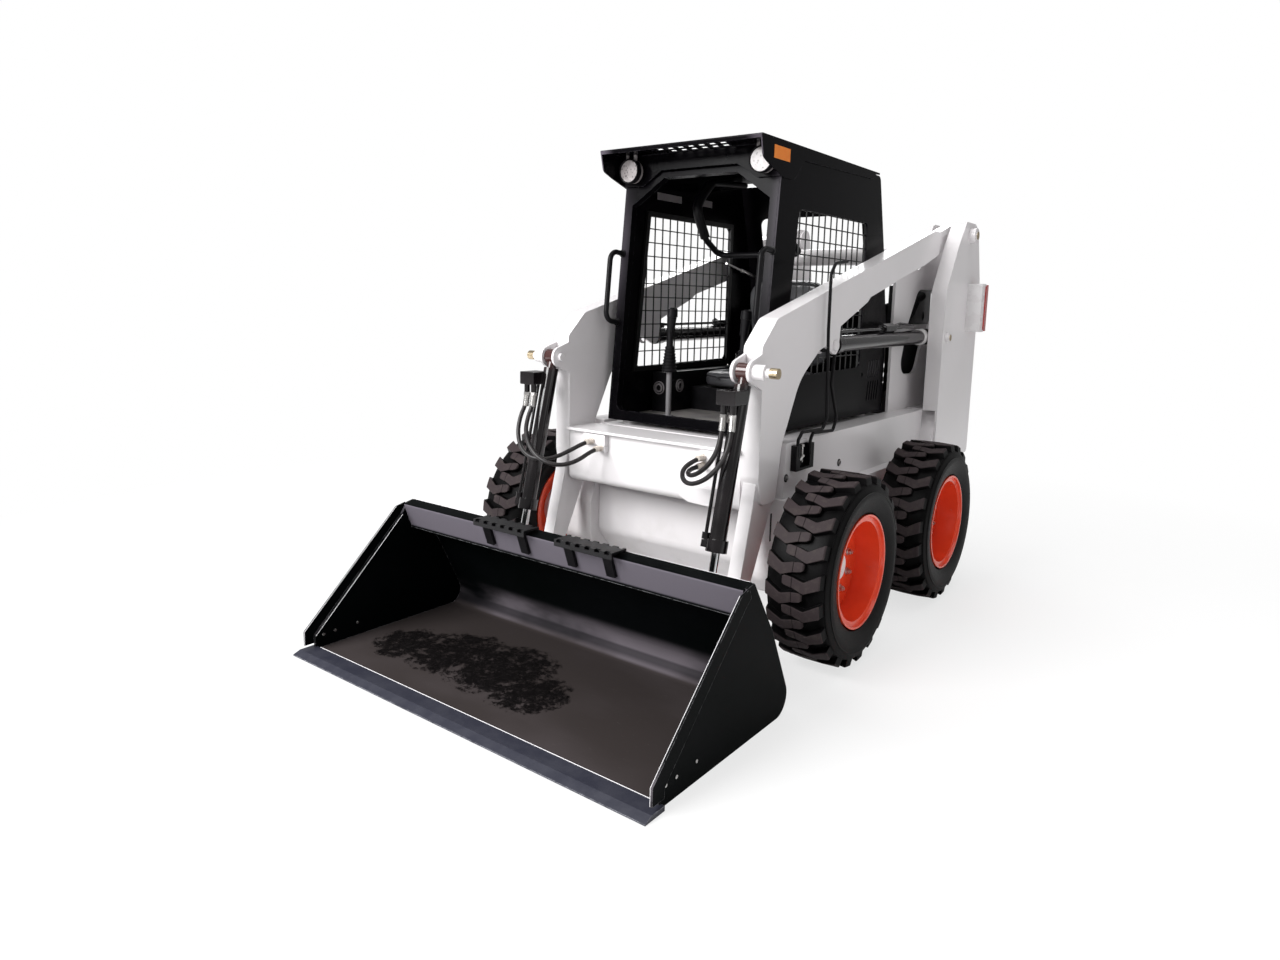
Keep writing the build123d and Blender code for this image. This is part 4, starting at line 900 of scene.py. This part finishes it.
def gap_shade_sheets():
    """Add thin black sheets on the side boxes beside the front wheels, as painted shade in the dark gaps between the
    arms' legs and the wheels.
    """
    mesh = bmesh.new()
    for _, sign in SIDES:
        block(mesh, (sign * BOX_X, *SHADE_SHEET_LOW), (sign * (BOX_X + SHADE_SHEET_WALL), *SHADE_SHEET_HIGH))
    make("gap_shade_sheets", mesh, "mesh_black", "root")


DUCT_IN_X, DUCT_OUT_X = 352, 396
DUCT_LOW, DUCT_HIGH = (1480, 962), (2040, 1545)
DUCT_BOLTS, DUCT_BOLT_X, DUCT_BOLT_R = ((1500, 1000), (1500, 1500), (2020, 1000), (2020, 1180)), 425, 12
FILTER_X, FILTER_Z, FILTER_R, FILTER_ENDS = 330, 1380, 60, (1560, 1952)
FILTER_BANDS, BAND_WIDTH = ((1560, 66), (1575, 72), (1925, 72), (1940, 66)), 12  # front edge and radius of each
DRAIN = dict(y=1750, high=FILTER_Z - 80, low=FILTER_Z - 120, radius=28)


def engine_ducts():
    """Add a box, its bolts and an air filter behind each column's opening."""
    mesh = bmesh.new()
    for _, sign in SIDES:
        block(mesh, (sign * DUCT_IN_X, *DUCT_LOW), (sign * DUCT_OUT_X, *DUCT_HIGH))
        for place in DUCT_BOLTS:
            stub(mesh, sign, (DUCT_OUT_X, DUCT_BOLT_X), place, DUCT_BOLT_R)
        x = sign * FILTER_X
        for y, radius in FILTER_BANDS:
            rod(mesh, (x, y, FILTER_Z), (x, y + BAND_WIDTH, FILTER_Z), radius, 40)
        rod(mesh, (x, FILTER_ENDS[0], FILTER_Z), (x, FILTER_ENDS[1], FILTER_Z), FILTER_R, 40)
        rod(mesh, (x, DRAIN["y"], DRAIN["high"]), (x, DRAIN["y"], DRAIN["low"]), DRAIN["radius"], 24)
    make("engine_ducts", mesh, "cab_trim", "root", smooth=30)


INTAKE_X, INTAKE_R = 404, 24
INTAKE_RIDGES, INTAKE_RIDGE_R, RIDGE_SHARE = 22, 28, 0.05
INTAKE_LINE = ((1500, 1330), (1590, 1345), (1680, 1400), (1760, 1470), (1860, 1500))


def intake_hoses():
    """Add a ridged intake hose in each column's opening."""
    mesh = bmesh.new()
    legs = len(INTAKE_LINE) - 1
    for _, sign in SIDES:
        route = [Vector((sign * INTAKE_X, y, z)) for y, z in INTAKE_LINE]
        for first, last in zip(route, route[1:]):
            rod(mesh, first, last, INTAKE_R)
        for index in range(INTAKE_RIDGES):
            leg, part = divmod(index * legs / INTAKE_RIDGES, 1)
            first, last = route[int(leg)], route[int(leg) + 1]
            rod(mesh, first.lerp(last, part), first.lerp(last, part + RIDGE_SHARE), INTAKE_RIDGE_R)
    make("intake_hoses", mesh, "cab_trim", "root", smooth=30)


DOOR_REAR_Y = 2171
LATCH_BLOCKS = [  # low and high corner: plate, then paddle
    ((352, DOOR_REAR_Y, 730), (404, DOOR_REAR_Y + 5, 850)),
    ((360, DOOR_REAR_Y + 5, 745), (396, DOOR_REAR_Y + 10, 800)),
]
LOCK_START, LOCK_END, LOCK_R = (378, DOOR_REAR_Y + 4, 822), (378, DOOR_REAR_Y + 10, 822), 11
HINGE_ROWS, HINGE_PIN_LOW, HINGE_PIN_HIGH, HINGE_PIN_R = (420, 755, 1090), -3, 93, 5.5


def door_fittings():
    """Add the rear door's paddle latch and the pins of its hinges."""
    mesh = bmesh.new()
    for low, high in LATCH_BLOCKS:
        block(mesh, low, high)
    rod(mesh, LOCK_START, LOCK_END, LOCK_R)
    make("door_latch", mesh, "cab_trim", "rear_door", smooth=30)
    for height in HINGE_ROWS:
        mesh = bmesh.new()
        low, high = height + HINGE_PIN_LOW, height + HINGE_PIN_HIGH
        rod(mesh, (HINGE_X, HINGE_Y, low), (HINGE_X, HINGE_Y, high), HINGE_PIN_R)
        make(f"hinge_pin_{height}", mesh, "steel", "rear_door", smooth=30)


LIFT_AXIS_Y, LIFT_AXIS_Z = JOINTS["lift_rod_left_slide"]["axis"][1:]
PIPE_OUT = 56  # from the lift cylinder's middle line
PIPE_PARTS = [  # start and end as (distance along the cylinder, above the pipe's line), radius, sides
    ((600, 0), (1120, 0), 8, 20), ((1120, 8), (1120, -PIPE_OUT), 11, 20), ((470, 2), (600, 2), 25, 6),
    ((600, 2), (625, 0), 14, 6),
]
LIFT_HOSES = ((486, 20), (510, 6))  # x, how far it rises
LIFT_HOSE_R, LIFT_SLEEVE_R = 9, 12
LIFT_HOSE_FOOT, LIFT_HOSE_CROWN, LIFT_SLEEVE, LIFT_HOSE_TIP = 190, 330, 425, 470
COLLAR = dict(start=34, end=86, radius=44)


def lift_pipes():
    """Add a pipe, a valve and two hoses above each lift cylinder, and a collar at its foot."""
    for side, sign in SIDES:
        def above(along, out, x=CYLINDER_X):
            return (sign * x, LIFT_PIN[0] + LIFT_AXIS_Y * along + LIFT_AXIS_Z * out,
                    LIFT_PIN[1] + LIFT_AXIS_Z * along - LIFT_AXIS_Y * out)

        mesh = bmesh.new()
        for (start, low), (end, high), radius, sides in PIPE_PARTS:
            rod(mesh, above(start, PIPE_OUT + low), above(end, PIPE_OUT + high), radius, sides)
        for x, rise in LIFT_HOSES:
            foot = above(LIFT_HOSE_FOOT, PIPE_OUT + rise * 0.5, x)
            crown = above(LIFT_HOSE_CROWN, PIPE_OUT + rise, x)
            sleeve = above(LIFT_SLEEVE, PIPE_OUT + 9, x)
            tip = above(LIFT_HOSE_TIP, PIPE_OUT + 4, x)
            rod(mesh, crown, tip, LIFT_HOSE_R)
            rod(mesh, foot, crown, LIFT_HOSE_R)
            rod(mesh, sleeve, tip, LIFT_SLEEVE_R)
        make(f"lift_pipe_{side}", mesh, "cylinder_black", f"lift_barrel_{side}", smooth=30)
        mesh = bmesh.new()
        rod(mesh, above(COLLAR["start"], 0), above(COLLAR["end"], 0), COLLAR["radius"], 40)
        make(f"lift_collar_{side}", mesh, "hub_white", f"lift_barrel_{side}", smooth=30)


# ------------------------------------------------------------------ Bucket
SIDE_EDGES = [  # x, start and end as (y, z): painted highlights along the edges of the bucket's sides, outside and inside
    (862, (-901, 522.5), (-1350.5, 88)), (862, (-1350.5, 88), (-1350.5, 31)), (846, (-880, 486), (-1310.5, 64)),
]
TOP_EDGES = ((-845, -366), (349, 845))  # painted highlight along the top edge, beside the steps
TOP_EDGE = (-811, 541.5)
SIDE_EDGE_R, TOP_EDGE_R = 0.9, 0.8
WELD_HIGHLIGHT = ((-838, -1299, 14), (838, -1295.5, 15.4))
BUCKET_BOLTS, BUCKET_BOLT_R = ((-1278, 62), (-1225, 64), (-1120, 66)), 6
BUCKET_BOLT_RUNS = ((846, 842), (863.4, 865))  # inside and outside the plate


def edge_highlights():
    """Add pale strips of painted highlight along the weld behind the cutting edge and along the edges of the plates.
    """
    mesh = bmesh.new()
    block(mesh, *WELD_HIGHLIGHT)
    for _, sign in SIDES:
        for x, start, end in SIDE_EDGES:
            rod(mesh, (sign * x, *start), (sign * x, *end), SIDE_EDGE_R, 8)
    for start, end in TOP_EDGES:
        rod(mesh, (start, *TOP_EDGE), (end, *TOP_EDGE), TOP_EDGE_R, 8)
    make("edge_highlights", mesh, "painted_light_strip", "bucket", smooth=30)


def bucket_bolts():
    """Add the bolts through the bucket's sides."""
    mesh = bmesh.new()
    for _, sign in SIDES:
        for place in BUCKET_BOLTS:
            for run in BUCKET_BOLT_RUNS:
                stub(mesh, sign, run, place, BUCKET_BOLT_R, 12)
    make("bucket_bolts", mesh, "steel", "bucket", smooth=30)


for build in (hoses, tyres, wheels, hose_sleeves, roof_slot_light, lap_grip, side_bolts, pin_ends, tail_lenses,
              plates, prop_bracket, lap_strut, console_sockets, engine_ducts, door_fittings, intake_hoses,
              lift_pipes, edge_highlights, bucket_bolts, levers, gap_shade_sheets, lamp_rings, cushions):
    build()


# ------------------------------------------------------------------ Stage, light and camera
LIGHTS = (  # name, place, target, size, power
    ("key", (-2.2, -6.6, 4.6), (0, -0.3, 0.8), (4.5, 4.0), 860),
    ("fill", (6.0, -1.5, 3.0), (0, 0, 0.9), (4.0, 3.0), 30),
    ("top", (0.0, 0.5, 6.5), (0, 0, 0), (6.0, 6.0), 160),
    ("rear", (-3.0, 6.0, 4.0), (0, 0.5, 0.9), (4.0, 3.0), 200),
)
WORLD_LIGHT, WORLD_SEEN = 0.34, 1.0
FLOOR_HALF = 40
FLOOR_GLOW = dict(near=1.6, far=4.5, least=0.70, most=1.0)
YAW, PITCH, ROLL = math.radians(37.03), math.radians(8.48), math.radians(1.35)
CAMERA_PLACE = (2.141, -3.519, 1.423)
SENSOR_WIDTH, LENS, SHIFT = 36, 23.82, (-0.0025, -0.0403)


def light(name, place, target, size, power):
    """Hang a soft square light that shines at a target."""
    data = bpy.data.lights.new(name, "AREA")
    data.shape = "RECTANGLE"
    data.size, data.size_y = size
    data.energy = power
    lamp = bpy.data.objects.new(name, data)
    lamp.location = place
    lamp.rotation_euler = (Vector(target) - Vector(place)).to_track_quat("-Z", "Y").to_euler()
    bpy.context.scene.collection.objects.link(lamp)


def studio_world():
    """Make an even white world, brighter to look at than to light with."""
    world = bpy.data.worlds.new("studio")
    bpy.context.scene.world = world
    world.use_nodes = True
    nodes, links = world.node_tree.nodes, world.node_tree.links
    level = nodes.new("ShaderNodeMapRange")
    level.inputs["To Min"].default_value = WORLD_LIGHT
    level.inputs["To Max"].default_value = WORLD_SEEN
    links.new(nodes.new("ShaderNodeLightPath").outputs["Is Camera Ray"], level.inputs["Value"])
    links.new(level.outputs[0], nodes["Background"].inputs["Strength"])
    nodes["Background"].inputs["Color"].default_value = (1, 1, 1, 1)


def floor_material():
    """Make a pale floor that keeps its shadows near the object and fades into the world further out."""
    pale = bpy.data.materials.new("pale_floor")
    pale.use_nodes = True
    nodes, links = pale.node_tree.nodes, pale.node_tree.links
    nodes.clear()
    out, mix = nodes.new("ShaderNodeOutputMaterial"), nodes.new("ShaderNodeMixShader")
    diffuse, glow = nodes.new("ShaderNodeBsdfDiffuse"), nodes.new("ShaderNodeEmission")
    diffuse.inputs["Color"].default_value = (0.9, 0.9, 0.9, 1)
    reach = nodes.new("ShaderNodeVectorMath")
    reach.operation = "LENGTH"
    links.new(nodes.new("ShaderNodeTexCoord").outputs["Object"], reach.inputs[0])
    fade = nodes.new("ShaderNodeMapRange")
    for name, value in (("From Min", FLOOR_GLOW["near"]), ("From Max", FLOOR_GLOW["far"]),
                        ("To Min", FLOOR_GLOW["least"]), ("To Max", FLOOR_GLOW["most"])):
        fade.inputs[name].default_value = value
    links.new(reach.outputs["Value"], fade.inputs["Value"])
    share = nodes.new("ShaderNodeMath")
    share.operation = "MULTIPLY"
    links.new(nodes.new("ShaderNodeLightPath").outputs["Is Camera Ray"], share.inputs[0])
    links.new(fade.outputs["Result"], share.inputs[1])
    for source, target in ((share, mix.inputs[0]), (diffuse, mix.inputs[1]), (glow, mix.inputs[2]),
                           (mix, out.inputs["Surface"])):
        links.new(source.outputs[0], target)
    return pale


def studio_floor():
    """Lay the floor just under the wheels."""
    mesh = bmesh.new()
    corners = ((-1, -1), (1, -1), (1, 1), (-1, 1))
    mesh.faces.new([mesh.verts.new((x * FLOOR_HALF, y * FLOOR_HALF, 0)) for x, y in corners])
    data = bpy.data.meshes.new("studio_floor")
    mesh.to_mesh(data)
    mesh.free()
    floor = bpy.data.objects.new("studio_floor", data)
    floor.location.z = -0.001
    bpy.context.scene.collection.objects.link(floor)
    data.materials.append(floor_material())


def camera():
    """Set the camera that was solved from the photo."""
    back = Vector((math.sin(YAW) * math.cos(PITCH), -math.cos(YAW) * math.cos(PITCH), math.sin(PITCH)))
    right = Vector((math.cos(YAW), math.sin(YAW), 0))
    up = back.cross(right)
    tilted_right = right * math.cos(ROLL) + up * math.sin(ROLL)
    tilted_up = up * math.cos(ROLL) - right * math.sin(ROLL)
    data = bpy.data.cameras.new("camera")
    data.sensor_width = SENSOR_WIDTH
    data.lens = LENS
    data.shift_x, data.shift_y = SHIFT
    piece = bpy.data.objects.new("camera", data)
    turn = Matrix((tilted_right, tilted_up, back)).transposed().to_4x4()
    piece.matrix_world = Matrix.Translation(CAMERA_PLACE) @ turn
    bpy.context.scene.collection.objects.link(piece)
    bpy.context.scene.camera = piece


for lamp in LIGHTS:
    light(*lamp)
studio_world()
studio_floor()
camera()
bpy.context.scene.view_settings.view_transform = "Standard"
